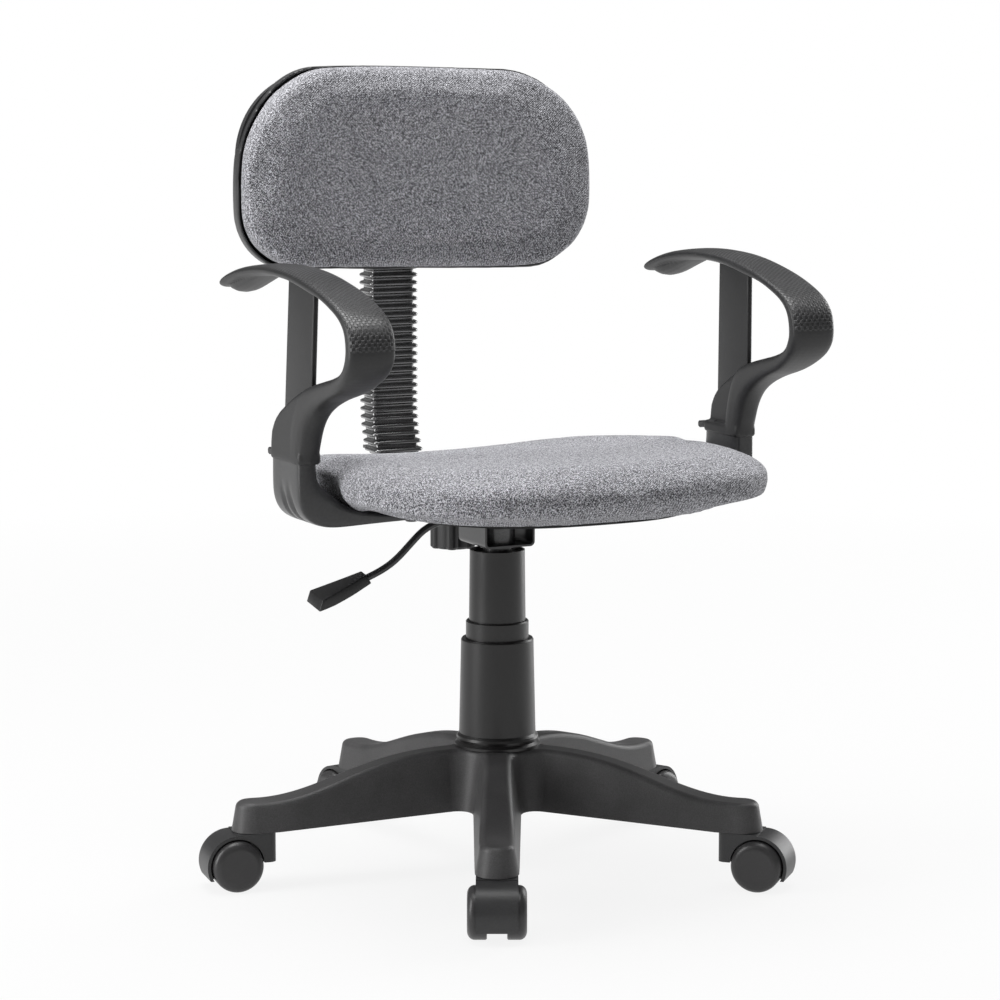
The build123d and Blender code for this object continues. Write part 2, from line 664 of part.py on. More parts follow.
LEVER_SLOPE = degrees(atan((LEVER_Z - LEVER_END_Z) / (LEVER_END_X - LEVER_BEND_X)))


def lever_handle():
    """Moulded paddle, widening to its tip and bevelled there, socketed on the rod."""
    grip = HANDLE_LENGTH - 14.0
    paddle = loft([
        Plane.XY * RectangleRounded(HANDLE_ROOT_W, HANDLE_ROOT_T, 3.0),
        Plane.XY.offset(grip) * RectangleRounded(HANDLE_TIP_W, HANDLE_TIP_T, 3.0),
    ])
    end = loft([
        Plane.XY.offset(grip) * RectangleRounded(HANDLE_TIP_W, HANDLE_TIP_T, 3.0),
        Plane.XY.offset(HANDLE_LENGTH) * Pos(0, HANDLE_TIP_T / 5) * RectangleRounded(
            HANDLE_TIP_W - 4.0, HANDLE_TIP_T - 4.0, 3.0),
    ])
    handle = paddle + end
    slope = LEVER_SLOPE - 8.0
    start = Pos(-LEVER_END_X + 12.0 * cos(radians(LEVER_SLOPE)), 0, LEVER_END_Z + 12.0 * sin(radians(LEVER_SLOPE)))
    placed = start * Rot(0, -90 - slope, 0) * Rot(0, 0, 90) * handle
    return placed - lever_rod()


def lobed_knob(radius, height, stem_d, stem_length, neck_r, neck_length):
    """Clamp knob with rounded lobes, a neck and a threaded stem, pointing up."""
    plan = Circle(radius - KNOB_LOBE_R * 0.45)
    for number in range(KNOB_LOBES):
        turn = Rot(0, 0, number * 360 / KNOB_LOBES)
        plan += turn * Pos(radius - KNOB_LOBE_R, 0) * Circle(KNOB_LOBE_R)
    head = extrude(plan, height)
    head = chamfer(head.faces().sort_by(Axis.Z)[0].edges(), 2.5)
    head += disc(neck_r, height, height + neck_length)
    return head + disc(stem_d / 2, height, height + neck_length + stem_length)


def depth_knob():
    neck_top = BAR_Z - STEEL_T - NUT_T - GAP
    neck = neck_top - DEPTH_KNOB_Z - KNOB_H
    knob = lobed_knob(KNOB_R, KNOB_H, KNOB_STEM_D, BAR_Z - neck_top, KNOB_NECK_R, neck)
    return Pos(0, DEPTH_KNOB_Y, DEPTH_KNOB_Z) * knob


def bolt(grip, reach):
    """Pan-head screw pointing up: head below z = 0, shank through grip and reach."""
    head = disc(BOLT_HEAD_D / 2, -BOLT_HEAD_T, 0)
    head = fillet(head.edges().sort_by(Axis.Z)[0], BOLT_HEAD_T * 0.45)
    return head + disc(BOLT_D / 2, 0, grip + reach)


def seat_bolts():
    return Compound(children=[
        Pos(x, y, PLATE_LOW) * bolt(PLATE_T, BOLT_GRIP) for x, y in BOLT_SPOTS
    ])


# ================================================================ seat
def seat_plan(inset):
    """Plan of the cushion: bowed front, sides and rear with large round corners."""
    half = SEAT_HALF_W - inset
    front = SEAT_FRONT + inset
    rear = SEAT_REAR - inset
    front_w = half - SEAT_SIDE_BOW
    rear_w = front_w - SEAT_REAR_NARROW
    front_y = front + SEAT_FRONT_BOW
    rear_y = rear - SEAT_REAR_BOW
    middle = (front_y + rear_y) / 2
    outline = ThreePointArc((-front_w, front_y), (0, front), (front_w, front_y))
    outline += ThreePointArc((front_w, front_y), (half, middle), (rear_w, rear_y))
    outline += ThreePointArc((rear_w, rear_y), (0, rear), (-rear_w, rear_y))
    outline += ThreePointArc((-rear_w, rear_y), (-half, middle), (-front_w, front_y))
    face = make_face(outline)
    face = fillet(face.vertices().group_by(Axis.Y)[0], SEAT_FRONT_R - inset)
    rear_corners = [v for v in face.vertices() if v.Y > rear_y - 0.01]
    return fillet(rear_corners, SEAT_REAR_R - inset)


def seat_board():
    board = Pos(0, 0, SEAT_PLANE) * extrude(seat_plan(BOARD_INSET), BOARD_T)
    for x, y in BOLT_SPOTS:
        board -= Pos(x, y, 0) * disc(BOLT_D / 2 + RUN, SEAT_PLANE, SEAT_PLANE + BOLT_GRIP + GAP)
    for x, y in arm_bolt_spots():
        board -= Pos(x, y, 0) * disc(BOLT_D / 2 + RUN, SEAT_PLANE, SEAT_PLANE + BOLT_GRIP + GAP)
    return board


def seat_level(angle, roll, rise):
    """Plan of the cushion at an angle round its rolled edge, 0 being the belt."""
    bend = 2 / SEAT_EDGE_POWER
    share = 1 - roll * (1 - cos(radians(angle)) ** bend)
    lift = sin(radians(angle)) ** bend
    rake = SEAT_RAKE * lift if rise > 0 else 0
    middle = (SEAT_FRONT + SEAT_REAR) / 2
    plan = Pos(0, -middle, 0) * seat_plan(0)
    level = Pos(0, middle - SEAT_RAKE_Y, 0) * scale(plan, by=share)
    return Pos(0, SEAT_RAKE_Y, SEAT_BELT + rise * lift) * Rot(-rake, 0, 0) * level


def seat_cushion():
    """Foam and cover as one closed form: tucked under, widest at its belt, crowned on top."""
    levels = [seat_level(angle, SEAT_UNDER_ROLL, SEAT_LOW - SEAT_BELT) for angle in (90, 60, 30)]
    levels += [seat_level(angle, SEAT_TOP_ROLL, SEAT_TOP - SEAT_BELT) for angle in range(0, 91, 15)]
    pad = loft(levels, ruled=True)
    return pad - Pos(0, 0, SEAT_PLANE) * extrude(seat_plan(BOARD_INSET), BOARD_T)


# ================================================================ arms
def arm_bolt_spots():
    spread = ARM_BOLT_SPREAD / 2
    first = FOOT_END_X + ARM_BOLT_EDGE
    second = first + ARM_BOLT_PITCH
    spots = [(first, BRACKET_MID - spread), (first, BRACKET_MID + spread), (second, BRACKET_MID)]
    return [(side * x, y) for side in (-1, 1) for x, y in spots]


def arm_bracket():
    """Right-hand L bracket: foot under the seat, bend, upright and the steel tongue."""
    out = ARM_X + BRACKET_T / 2
    near = ARM_X - BRACKET_T / 2
    profile = make_face(Polyline(
        (FOOT_END_X, FOOT_LOW), (out, FOOT_LOW), (out, SLEEVE_BOTTOM), (near, SLEEVE_BOTTOM),
        (near, SEAT_PLANE), (FOOT_END_X, SEAT_PLANE), close=True
    ))
    outer = profile.vertices().sort_by_distance((out, FOOT_LOW))[0]
    profile = fillet(outer, BRACKET_BEND_R)
    inner = profile.vertices().sort_by_distance((near, SEAT_PLANE))[0]
    profile = fillet(inner, BRACKET_INNER_R)
    width = BRACKET_REAR - BRACKET_FRONT
    body = Pos(0, BRACKET_MID, 0) * extrude(Plane.XZ * profile, width / 2, both=True)
    foot_plan = make_face(Polyline(
        (FOOT_END_X, BRACKET_FRONT + FOOT_TAPER), (near, BRACKET_FRONT), (out + 1, BRACKET_FRONT),
        (out + 1, BRACKET_REAR), (near, BRACKET_REAR), (FOOT_END_X, BRACKET_REAR - FOOT_TAPER), close=True
    ))
    body &= Pos(0, 0, FOOT_LOW - 1) * extrude(foot_plan, SLEEVE_BOTTOM)
    ends = body.edges().filter_by(Axis.Z).group_by(Axis.X)[0]
    body = fillet(ends, FOOT_ROUND)
    outer_edges = body.edges().filter_by(Axis.Z).group_by(Axis.X)[-1]
    body = fillet(outer_edges, BRACKET_EDGE_ROUND)
    for side in (-1, 1):
        y = BRACKET_MID + side * FLUTE_SPACING / 2
        groove = Pos(out + FLUTE_PROUD, y, FOOT_LOW) * Rot(0, FLUTE_LEAN, 0) * Cylinder(FLUTE_R, FLUTE_LENGTH)
        body -= groove
    body += block(
        ARM_X - TONGUE_T / 2, ARM_X + TONGUE_T / 2, TONGUE_FRONT, TONGUE_REAR,
        SLEEVE_BOTTOM - TONGUE_ROOT, ARM_TRAVEL_TOP
    )
    for x, y in arm_bolt_spots()[3:]:
        body -= Pos(x, y, 0) * disc(BOLT_D / 2 + RUN, FOOT_LOW, SEAT_PLANE)
    return body


def arm_bolts():
    return Compound(children=[
        Pos(x, y, FOOT_LOW) * bolt(FOOT_T, BOLT_GRIP) for x, y in arm_bolt_spots()
    ])


def loop_outline():
    """Side view of pad, front bulge, neck and sleeve as one closed outline of (Y, Z)."""
    tail = (TAIL_Y, PAD_TOP - TAIL_DROP)
    pad_front = PAD_TOP - PAD_FRONT_DROP
    bulge = PAD_TOP - BULGE_DROP
    chin = PAD_TOP - CHIN_DROP
    outer = Spline(
        tail, (CROWN_Y, PAD_TOP), (PAD_FRONT_Y, pad_front), (BULGE_FRONT, bulge), (CHIN_Y, chin),
        (NECK_Y, PAD_TOP - NECK_DROP), (SLEEVE_FRONT, SLEEVE_BOTTOM), tangents=[(-1, 0.45), (0.15, -1)]
    )
    latch_top = SLEEVE_BOTTOM + LATCH_LIFT + LATCH_T + LATCH_CROWN
    foot = Polyline((SLEEVE_FRONT, SLEEVE_BOTTOM), (SLEEVE_REAR, SLEEVE_BOTTOM), (SLEEVE_REAR, latch_top))
    shoulder = Spline((SLEEVE_REAR, latch_top), (POST_REAR_LOW, SHOULDER_TOP), tangents=[(0, 1), (-0.6, 0.8)])
    web = Line((POST_REAR_LOW, SHOULDER_TOP), (POST_FRONT_LOW, POST_FOOT))
    lip = (TAIL_Y - 1, PAD_TOP - TAIL_DROP - TAIL_LIP)
    inner = Spline(
        (POST_FRONT_LOW, POST_FOOT), (CHIN_Y, chin + CHIN_T), (BULGE_FRONT + BULGE_T, bulge),
        (PAD_FRONT_Y, pad_front - PAD_T), (CROWN_Y, PAD_TOP - PAD_T), lip, tangents=[(-1, 0.3), (1, -0.25)]
    )
    return make_face(outer + foot + shoulder + web + inner + Line(lip, tail))


def loop_front():
    """Front view of the loop: full width at pad and bulge, narrowing down to the sleeve."""
    half = PAD_HALF_W
    thin = SLEEVE_HALF_W
    neck = NECK_HALF_W
    wide_z = PAD_TOP - BULGE_DROP
    neck_z = PAD_TOP - CHIN_DROP
    return make_face(Polyline(
        (-thin, SLEEVE_BOTTOM), (thin, SLEEVE_BOTTOM), (thin, SHOULDER_TOP), (neck, neck_z),
        (half, wide_z), (half, PAD_TOP + 1), (-half, PAD_TOP + 1), (-half, wide_z),
        (-neck, neck_z), (-thin, SHOULDER_TOP), close=True
    ))


def sleeve_recess():
    """Hollow on the inner side of the sleeve, behind the rib that runs down from the neck."""
    low = SLEEVE_BOTTOM + SLEEVE_COLLAR_H
    rear = SLEEVE_REAR - SLEEVE_RIM
    outline = make_face(Polyline(
        (rear, low), (SLEEVE_FRONT + STRUT_W, low), (POST_FRONT_LOW, POST_FOOT), (POST_FRONT_LOW, PAD_TOP),
        (rear, PAD_TOP), close=True
    ))
    recess = extrude(Plane.YZ * outline, PAD_HALF_W - POST_T / 2)
    return Pos(-PAD_HALF_W, 0, 0) * recess & block(
        -PAD_HALF_W, 0, POST_FRONT_LOW, SLEEVE_REAR, SLEEVE_BOTTOM, PAD_TOP - BULGE_DROP
    )


def tail_core():
    """Rounded swelling under the pad's rear end."""
    tip = PAD_TOP - TAIL_DROP
    front = (TAIL_CORE_FRONT, PAD_TOP - PAD_T / 2)
    lowest = ((TAIL_CORE_FRONT + TAIL_Y) / 2, tip - TAIL_CORE_DEPTH)
    end = (TAIL_Y - 1, tip)
    belly = Spline(front, lowest, end, tangents=[(1, -0.4), (0.7, 0.7)])
    core = extrude(Plane.YZ * make_face(belly + Line(end, front)), TAIL_CORE_HALF_W, both=True)
    long_edges = core.faces().sort_by(Axis.Z)[0].edges().group_by(Axis.X)
    return fillet(long_edges[0] + long_edges[-1], TAIL_CORE_ROUND)


def arm_loop():
    """Right-hand loop: broad pad and bulge, neck narrowing into the sleeve, flat rear post."""
    span = TAIL_Y - BULGE_FRONT
    loop = extrude(Plane.YZ * loop_outline(), PAD_HALF_W, both=True)
    loop &= extrude(Plane.XZ * loop_front(), span, both=True)
    loop -= sleeve_recess()
    post = make_face(Polyline(
        (POST_FRONT_LOW, POST_FOOT - POST_T), (POST_REAR_LOW, SHOULDER_TOP - POST_T),
        (POST_REAR_HIGH, PAD_TOP - PAD_T / 2), (POST_FRONT_HIGH, PAD_TOP - PAD_T), close=True
    ))
    loop += extrude(Plane.YZ * post, POST_T / 2, both=True)
    loop += tail_core()
    play = TONGUE_T / 2 + GAP
    loop -= block(-play, play, TONGUE_FRONT - GAP, TONGUE_REAR + GAP, SLEEVE_BOTTOM, ARM_TRAVEL_TOP + GAP)
    latch_low = SLEEVE_BOTTOM + LATCH_LIFT
    loop -= block(
        -LATCH_HALF_W - GAP, LATCH_HALF_W + GAP, LATCH_ROOT - LATCH_TRAVEL - GAP, SLEEVE_REAR + 1,
        latch_low - GAP, latch_low + LATCH_T + GAP
    )
    return Pos(ARM_X, 0, 0) * loop


def arm_latch():
    """Push tab in the back of the sleeve, with a raised lip at its end."""
    low = SLEEVE_BOTTOM + LATCH_LIFT
    high = low + LATCH_T
    tab = block(-LATCH_HALF_W, LATCH_HALF_W, LATCH_ROOT, LATCH_TIP, low, high)
    lip = block(-LATCH_HALF_W, LATCH_HALF_W, LATCH_TIP - LATCH_LIP, LATCH_TIP, low - 1.0, high + 2.0)
    lip = fillet(lip.edges().filter_by(Axis.X), LATCH_LIP * 0.4)
    return Pos(ARM_X, 0, 0) * (tab + lip)


# ================================================================ backrest
def back_outline(inset):
    """Front view of the backrest: bowed top and bottom edges, larger corners at the top."""
    w = BACK_HALF_W - inset
    h = BACK_HALF_H - inset
    outline = ThreePointArc((-w, h), (0, h + BACK_BOW), (w, h))
    outline += Line((w, h), (w, -h))
    outline += ThreePointArc((w, -h), (0, -h - BACK_BOW), (-w, -h))
    outline += Line((-w, -h), (-w, h))
    face = make_face(outline)
    face = fillet(face.vertices().group_by(Axis.Y)[-1], BACK_TOP_R - inset)
    low = [v for v in face.vertices() if v.Y < -h + 0.01]
    return fillet(low, BACK_LOW_R - inset)


def back_layer(rear, front):
    """Slab between two depths ahead of the shell's back, wrapped forward at its sides."""
    w = BACK_HALF_W + 20
    wrap = BACK_WRAP * (w / BACK_HALF_W) ** 2
    near = ThreePointArc((-w, -rear - wrap), (0, -rear), (w, -rear - wrap))
    far = ThreePointArc((w, -front - wrap), (0, -front), (-w, -front - wrap))
    plan = make_face(near + Line((w, -rear - wrap), (w, -front - wrap)) + far
                     + Line((-w, -front - wrap), (-w, -rear - wrap)))
    tall = 2 * (BACK_HALF_H + BACK_BOW + 20)
    return Pos(0, 0, -tall / 2) * extrude(plan, tall)


def back_piece(inset, rear, front):
    depth = 2 * (CUSHION_FRONT + BACK_WRAP + 20)
    prism = extrude(Plane.XZ * back_outline(inset), depth, both=True)
    return prism & back_layer(rear, front)


BACK_PLACE = Pos(0, BACK_REAR_Y, BACK_Z) * Rot(-BACK_TILT, 0, 0)


def back_shell():
    shell = back_piece(0, 0, SHELL_DEPTH)
    rim = shell.faces().sort_by(Axis.Y)[-1].edges()
    shell = fillet(rim, SHELL_ROUND)
    shell -= back_piece(SHELL_WALL, SHELL_WALL, SHELL_DEPTH + 5)
    for x, z in back_screw_spots():
        shell -= Pos(x, 0, z) * Rot(90, 0, 0) * Cylinder(BACK_SCREW_D / 2 + RUN, 2 * SHELL_DEPTH)
    return BACK_PLACE * shell


def back_panel():
    panel = back_piece(SHELL_WALL + GAP, SHELL_WALL, SHELL_WALL + PANEL_T)
    for x, z in back_screw_spots():
        panel -= Pos(x, 0, z) * Rot(90, 0, 0) * Cylinder(BACK_SCREW_D / 2 + RUN, 2 * SHELL_DEPTH)
    return BACK_PLACE * panel


def back_cushion():
    pad = back_piece(SHELL_WALL + GAP, SHELL_WALL + PANEL_T, CUSHION_FRONT)
    front = pad.faces().sort_by(Axis.Y)[0].edges()
    pad = fillet(front, CUSHION_ROUND)
    return BACK_PLACE * pad


def back_screw_spots():
    return [(x, z) for x in (-BACK_SCREW_X, BACK_SCREW_X) for z in (-BACK_SCREW_DZ, BACK_SCREW_DZ - 20)]


def back_screws():
    head_y = FLANGE_T + RUN
    screws = []
    for x, z in back_screw_spots():
        screw = Pos(x, head_y, z) * Rot(90, 0, 0) * disc(BACK_SCREW_D / 2, -RUN, FLANGE_T + SHELL_WALL + PANEL_T)
        screw += Pos(x, head_y, z) * Rot(90, 0, 0) * disc(BACK_SCREW_D, -2.5, 0)
        screws.append(BACK_PLACE * screw)
    return Compound(children=screws)


def back_bracket():
    """Plastic housing on the shell's back: flange, hollow case, two bar guides, clamp boss."""
    low = HOUSING_LOW
    top = HOUSING_TOP
    half = HOUSING_HALF_W
    front = BACK_REAR_Y - 12
    case = block(-half, half, front, HOUSING_REAR, low, top)
    case = fillet(case.edges().filter_by(Axis.Z).group_by(Axis.Y)[-1], HOUSING_ROUND)
    case = fillet(case.edges().filter_by(Axis.X).sort_by(Axis.Z)[-1], HOUSING_ROUND)
    wall = HOUSING_WALL
    bar_rear = BACK_Y + BAR_T / 2 + RUN
    bar_front = BACK_Y - BAR_T / 2 - RUN
    bar_half = BAR_W / 2 + RUN
    cavity = block(-half + wall, half - wall, bar_front - 6, HOUSING_REAR - wall, low, top - wall)
    keep = block(-half, half, front, HOUSING_REAR, low + 8, low + 8 + GUIDE_H)
    keep += block(-half, half, front, HOUSING_REAR, top - 35 - GUIDE_H, top - 35)
    boss = HEIGHT_KNOB_R / 2
    keep += block(-boss, boss, bar_rear, HOUSING_REAR, HEIGHT_KNOB_Z - boss, HEIGHT_KNOB_Z + boss)
    case -= cavity - keep
    case -= block(-bar_half, bar_half, bar_front, bar_rear, low, top - wall)
    case -= Pos(0, BACK_Y, HEIGHT_KNOB_Z) * Rot(-90, 0, 0) * disc(KNOB_STEM_D / 2 + RUN, 0, 60)
    flange = block(-FLANGE_HALF_W, FLANGE_HALF_W, -FLANGE_T * 3, FLANGE_T, -BACK_SCREW_DZ - 12, BACK_SCREW_DZ - 8)
    flange &= back_layer(-FLANGE_T, 0)
    for x, z in back_screw_spots():
        flange -= Pos(x, 0, z) * Rot(90, 0, 0) * Cylinder(BACK_SCREW_D / 2 + RUN, 10 * FLANGE_T)
    case -= BACK_PLACE * back_layer(0, 5 * FLANGE_T)
    wide = BACK_PLACE * flange
    wide -= block(-bar_half, bar_half, bar_front, bar_rear, low, top - wall)
    return case + wide


def height_knob():
    front = HOUSING_REAR + GAP
    knob = lobed_knob(
        HEIGHT_KNOB_R, 18.0, KNOB_STEM_D, front - BACK_Y - BAR_T / 2 - RUN, KNOB_NECK_R, 4.0
    )
    return Pos(0, front + 22.0, HEIGHT_KNOB_Z) * Rot(90, 0, 0) * knob


def back_bar():
    """Flat steel bar: flat run in the channel, one bend, then upright into the backrest."""
    low = BAR_LOW
    high = BAR_HIGH
    rear = BACK_Y + BAR_T / 2
    front = BACK_Y - BAR_T / 2
    outer = BAR_BEND_R + BAR_T
    profile = make_face(Polyline(
        (BAR_FRONT, low), (rear, low), (rear, BAR_TOP), (front, BAR_TOP), (front, high), (BAR_FRONT, high),
        close=True
    ))
    profile = fillet(profile.vertices().sort_by_distance((rear, low))[0], outer)
    profile = fillet(profile.vertices().sort_by_distance((front, high))[0], BAR_BEND_R)
    bar = extrude(Plane.YZ * profile, BAR_W / 2, both=True)
    collar_w = BELLOWS_W / 2 - PLEAT_DEPTH
    collar_d = BELLOWS_DEPTH / 2 - PLEAT_DEPTH
    collar = block(-collar_w, collar_w, BACK_Y - collar_d, BACK_Y + collar_d, BELLOWS_LOW - 3, BELLOWS_LOW)
    return bar + collar


def bellows():
    """Rubber bellows round the upright bar, one plain core with a fold at every pitch."""
    length = BELLOWS_TOP - BELLOWS_LOW
    count = round(length / PLEAT_PITCH)
    pitch = length / count
    core = RectangleRounded(BELLOWS_W - 2 * PLEAT_DEPTH, BELLOWS_DEPTH - 2 * PLEAT_DEPTH, BELLOWS_CORNER - 2)
    fold = RectangleRounded(BELLOWS_W, BELLOWS_DEPTH, BELLOWS_CORNER)
    body = Pos(0, 0, BELLOWS_LOW) * extrude(core, length)
    fold_h = pitch * PLEAT_SHARE
    for number in range(count):
        z = BELLOWS_LOW + (number + 0.5) * pitch - fold_h / 2
        body += Pos(0, 0, z) * extrude(fold, fold_h)
    bore = RectangleRounded(
        BELLOWS_W - 2 * PLEAT_DEPTH - 2 * BELLOWS_WALL, BELLOWS_DEPTH - 2 * PLEAT_DEPTH - 2 * BELLOWS_WALL, 1.5
    )
    body -= Pos(0, 0, BELLOWS_LOW) * extrude(bore, length)
    return Pos(0, BACK_Y, 0) * body


# ================================================================ write every sub-part
def main():
    build_casters()
    save("base_star", base_star())
    save("column_tube", column_tube())
    save("guide_bush", guide_bush())
    save("cover_lower", cover_lower())
    save("thrust_bearing", thrust_bearing())
    save("piston_rod", piston_rod())
    save("rod_clip", rod_clip())
    save("rod_buffer", rod_buffer())
    save("gas_cylinder", gas_cylinder())
    save("release_button", release_button())
    save("cover_middle", cover_middle())
    save("cover_upper", cover_upper())
    save("seat_mechanism", seat_mechanism())
    save("taper_sleeve", taper_sleeve())
    save("lever_rod", lever_rod())
    save("lever_handle", lever_handle())
    save("depth_knob", depth_knob())
    save("seat_bolts", seat_bolts())
    save("seat_board", seat_board())
    save("seat_cushion", seat_cushion())
    for name, make in (("arm_bracket", arm_bracket), ("arm_loop", arm_loop), ("arm_latch", arm_latch)):
        piece = make()
        save(f"{name}_left", piece)
        save(f"{name}_right", mirror(piece, Plane.YZ))
    save("arm_bolts", arm_bolts())
    save("back_bar", back_bar())
    save("bellows", bellows())
    save("back_bracket", back_bracket())
    save("back_shell", back_shell())
    save("back_panel", back_panel())
    save("back_cushion", back_cushion())
    save("back_screws", back_screws())
    save("height_knob", height_knob())


main()
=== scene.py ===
import math

import bpy
import numpy as np
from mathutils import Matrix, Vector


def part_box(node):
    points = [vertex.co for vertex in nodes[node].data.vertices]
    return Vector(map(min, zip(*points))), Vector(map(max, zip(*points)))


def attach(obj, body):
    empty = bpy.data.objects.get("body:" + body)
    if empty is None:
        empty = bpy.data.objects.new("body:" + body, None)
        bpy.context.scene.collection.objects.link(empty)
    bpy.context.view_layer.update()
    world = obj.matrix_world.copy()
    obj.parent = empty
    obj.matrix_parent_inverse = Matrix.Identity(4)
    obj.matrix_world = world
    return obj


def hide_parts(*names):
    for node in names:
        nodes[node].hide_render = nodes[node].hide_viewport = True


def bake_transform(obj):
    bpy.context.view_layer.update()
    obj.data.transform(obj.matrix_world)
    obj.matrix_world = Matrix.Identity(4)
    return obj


# Height-adjustable task chair. Metres; the origin is on the floor under the column,
# +Z is up and the sitter faces -Y.

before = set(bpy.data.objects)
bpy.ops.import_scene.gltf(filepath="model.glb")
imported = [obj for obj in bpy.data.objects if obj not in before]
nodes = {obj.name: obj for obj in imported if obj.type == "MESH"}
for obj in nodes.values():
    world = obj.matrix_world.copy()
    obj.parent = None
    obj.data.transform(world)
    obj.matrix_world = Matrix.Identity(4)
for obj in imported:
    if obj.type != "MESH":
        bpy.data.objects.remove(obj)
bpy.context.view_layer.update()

# ---------------------------------------------------------------- camera, floor and lights
# A long lens a little above seat height, from the sitter's right front. One plain white
# floor, a broad softbox overhead, one at each side and a weak fill in front.
scene = bpy.context.scene
scene.view_settings.view_transform = "Standard"
bpy.ops.object.select_all(action="DESELECT")
CAMERA_DIP = 8.235  # degrees below level
CAMERA_TURN = -0.4624  # radians round the upright axis
bpy.ops.object.camera_add(
    location=(-1.4752, -2.9656, 0.8467), rotation=(math.radians(90 - CAMERA_DIP), 0, CAMERA_TURN)
)
scene.camera = bpy.context.object
scene.camera.data.lens = 123.14
scene.camera.data.sensor_width = 36


def shader_tree(name):
    """A new material and its tree, with the plain surface shader in place."""
    made = bpy.data.materials.new(name)
    made.use_nodes = True
    return made, made.node_tree, made.node_tree.nodes["Principled BSDF"]


def add_node(tree, kind, values=(), **settings):
    """One shader node, with its settings and its input sockets' values."""
    made = tree.nodes.new(kind)
    for key, value in settings.items():
        setattr(made, key, value)
    for socket, value in dict(values).items():
        made.inputs[socket].default_value = value
    return made


# lit by the lamps, and white to the camera and in reflections; less of that white close to
# the chair keeps its shadow on the floor
floor_white, tree, shader = shader_tree("floor_white")
shader.inputs["Base Color"].default_value = (0.66, 0.66, 0.66, 1)
shader.inputs["Roughness"].default_value = 0.8
glow = add_node(tree, "ShaderNodeEmission", {"Color": (1, 1, 1, 1), "Strength": 1.0})
path = add_node(tree, "ShaderNodeLightPath")
seen = add_node(tree, "ShaderNodeMath", operation="MAXIMUM")
tree.links.new(path.outputs["Is Camera Ray"], seen.inputs[0])
tree.links.new(path.outputs["Is Glossy Ray"], seen.inputs[1])
spot = add_node(tree, "ShaderNodeTexCoord")
distance = add_node(tree, "ShaderNodeVectorMath", operation="LENGTH")
share = add_node(
    tree, "ShaderNodeMapRange", {"From Min": 0.5, "From Max": 2.5, "To Min": 0.87, "To Max": 1.0}
)
tree.links.new(spot.outputs["Object"], distance.inputs[0])
tree.links.new(distance.outputs["Value"], share.inputs["Value"])
part = add_node(tree, "ShaderNodeMath", operation="MULTIPLY")
tree.links.new(seen.outputs[0], part.inputs[0])
tree.links.new(share.outputs["Result"], part.inputs[1])
mix = add_node(tree, "ShaderNodeMixShader")
tree.links.new(part.outputs[0], mix.inputs["Fac"])
tree.links.new(shader.outputs["BSDF"], mix.inputs[1])
tree.links.new(glow.outputs[0], mix.inputs[2])
tree.links.new(mix.outputs[0], tree.nodes["Material Output"].inputs["Surface"])
bpy.ops.mesh.primitive_plane_add(size=60)
floor = bpy.context.object
floor.name = "floor"
floor.data.materials.append(floor_white)

world = bpy.data.worlds.new("studio")
scene.world = world
world.use_nodes = True
tree = world.node_tree
sky = tree.nodes["Background"]
sky.inputs["Color"].default_value = (1, 1, 1, 1)
sky.inputs["Strength"].default_value = 0.18
bright = add_node(tree, "ShaderNodeBackground", {"Color": (1, 1, 1, 1), "Strength": 1.0})
path = add_node(tree, "ShaderNodeLightPath")
mix = add_node(tree, "ShaderNodeMixShader")
tree.links.new(path.outputs["Is Camera Ray"], mix.inputs["Fac"])
tree.links.new(sky.outputs[0], mix.inputs[1])
tree.links.new(bright.outputs[0], mix.inputs[2])
tree.links.new(mix.outputs[0], tree.nodes["World Output"].inputs["Surface"])


def softbox(name, place, aim, width, height, power):
    """Rectangular area light at a place, facing a point."""
    bpy.ops.object.light_add(type="AREA", location=place)
    lamp = bpy.context.object
    lamp.name = name
    lamp.data.shape = "RECTANGLE"
    lamp.data.size = width
    lamp.data.size_y = height
    lamp.data.energy = power
    away = [a - b for a, b in zip(place, aim)]
    flat = math.hypot(away[0], away[1])
    lamp.rotation_euler = (math.atan2(flat, away[2]), 0, math.atan2(away[0], -away[1]))


softbox("overhead", place=(-0.1, 0.12, 2.7), aim=(0, 0, 0.4), width=1.9, height=1.9, power=74)
softbox("left_side", place=(-2.3, 0.2, 1.1), aim=(0, 0, 0.5), width=1.0, height=2.0, power=41)
softbox("right_side", place=(2.2, 0.6, 0.9), aim=(0, 0, 0.45), width=0.9, height=2.0, power=27)
softbox("front_fill", place=(-0.4, -3.2, 1.9), aim=(0, 0, 0.5), width=1.6, height=1.2, power=3)


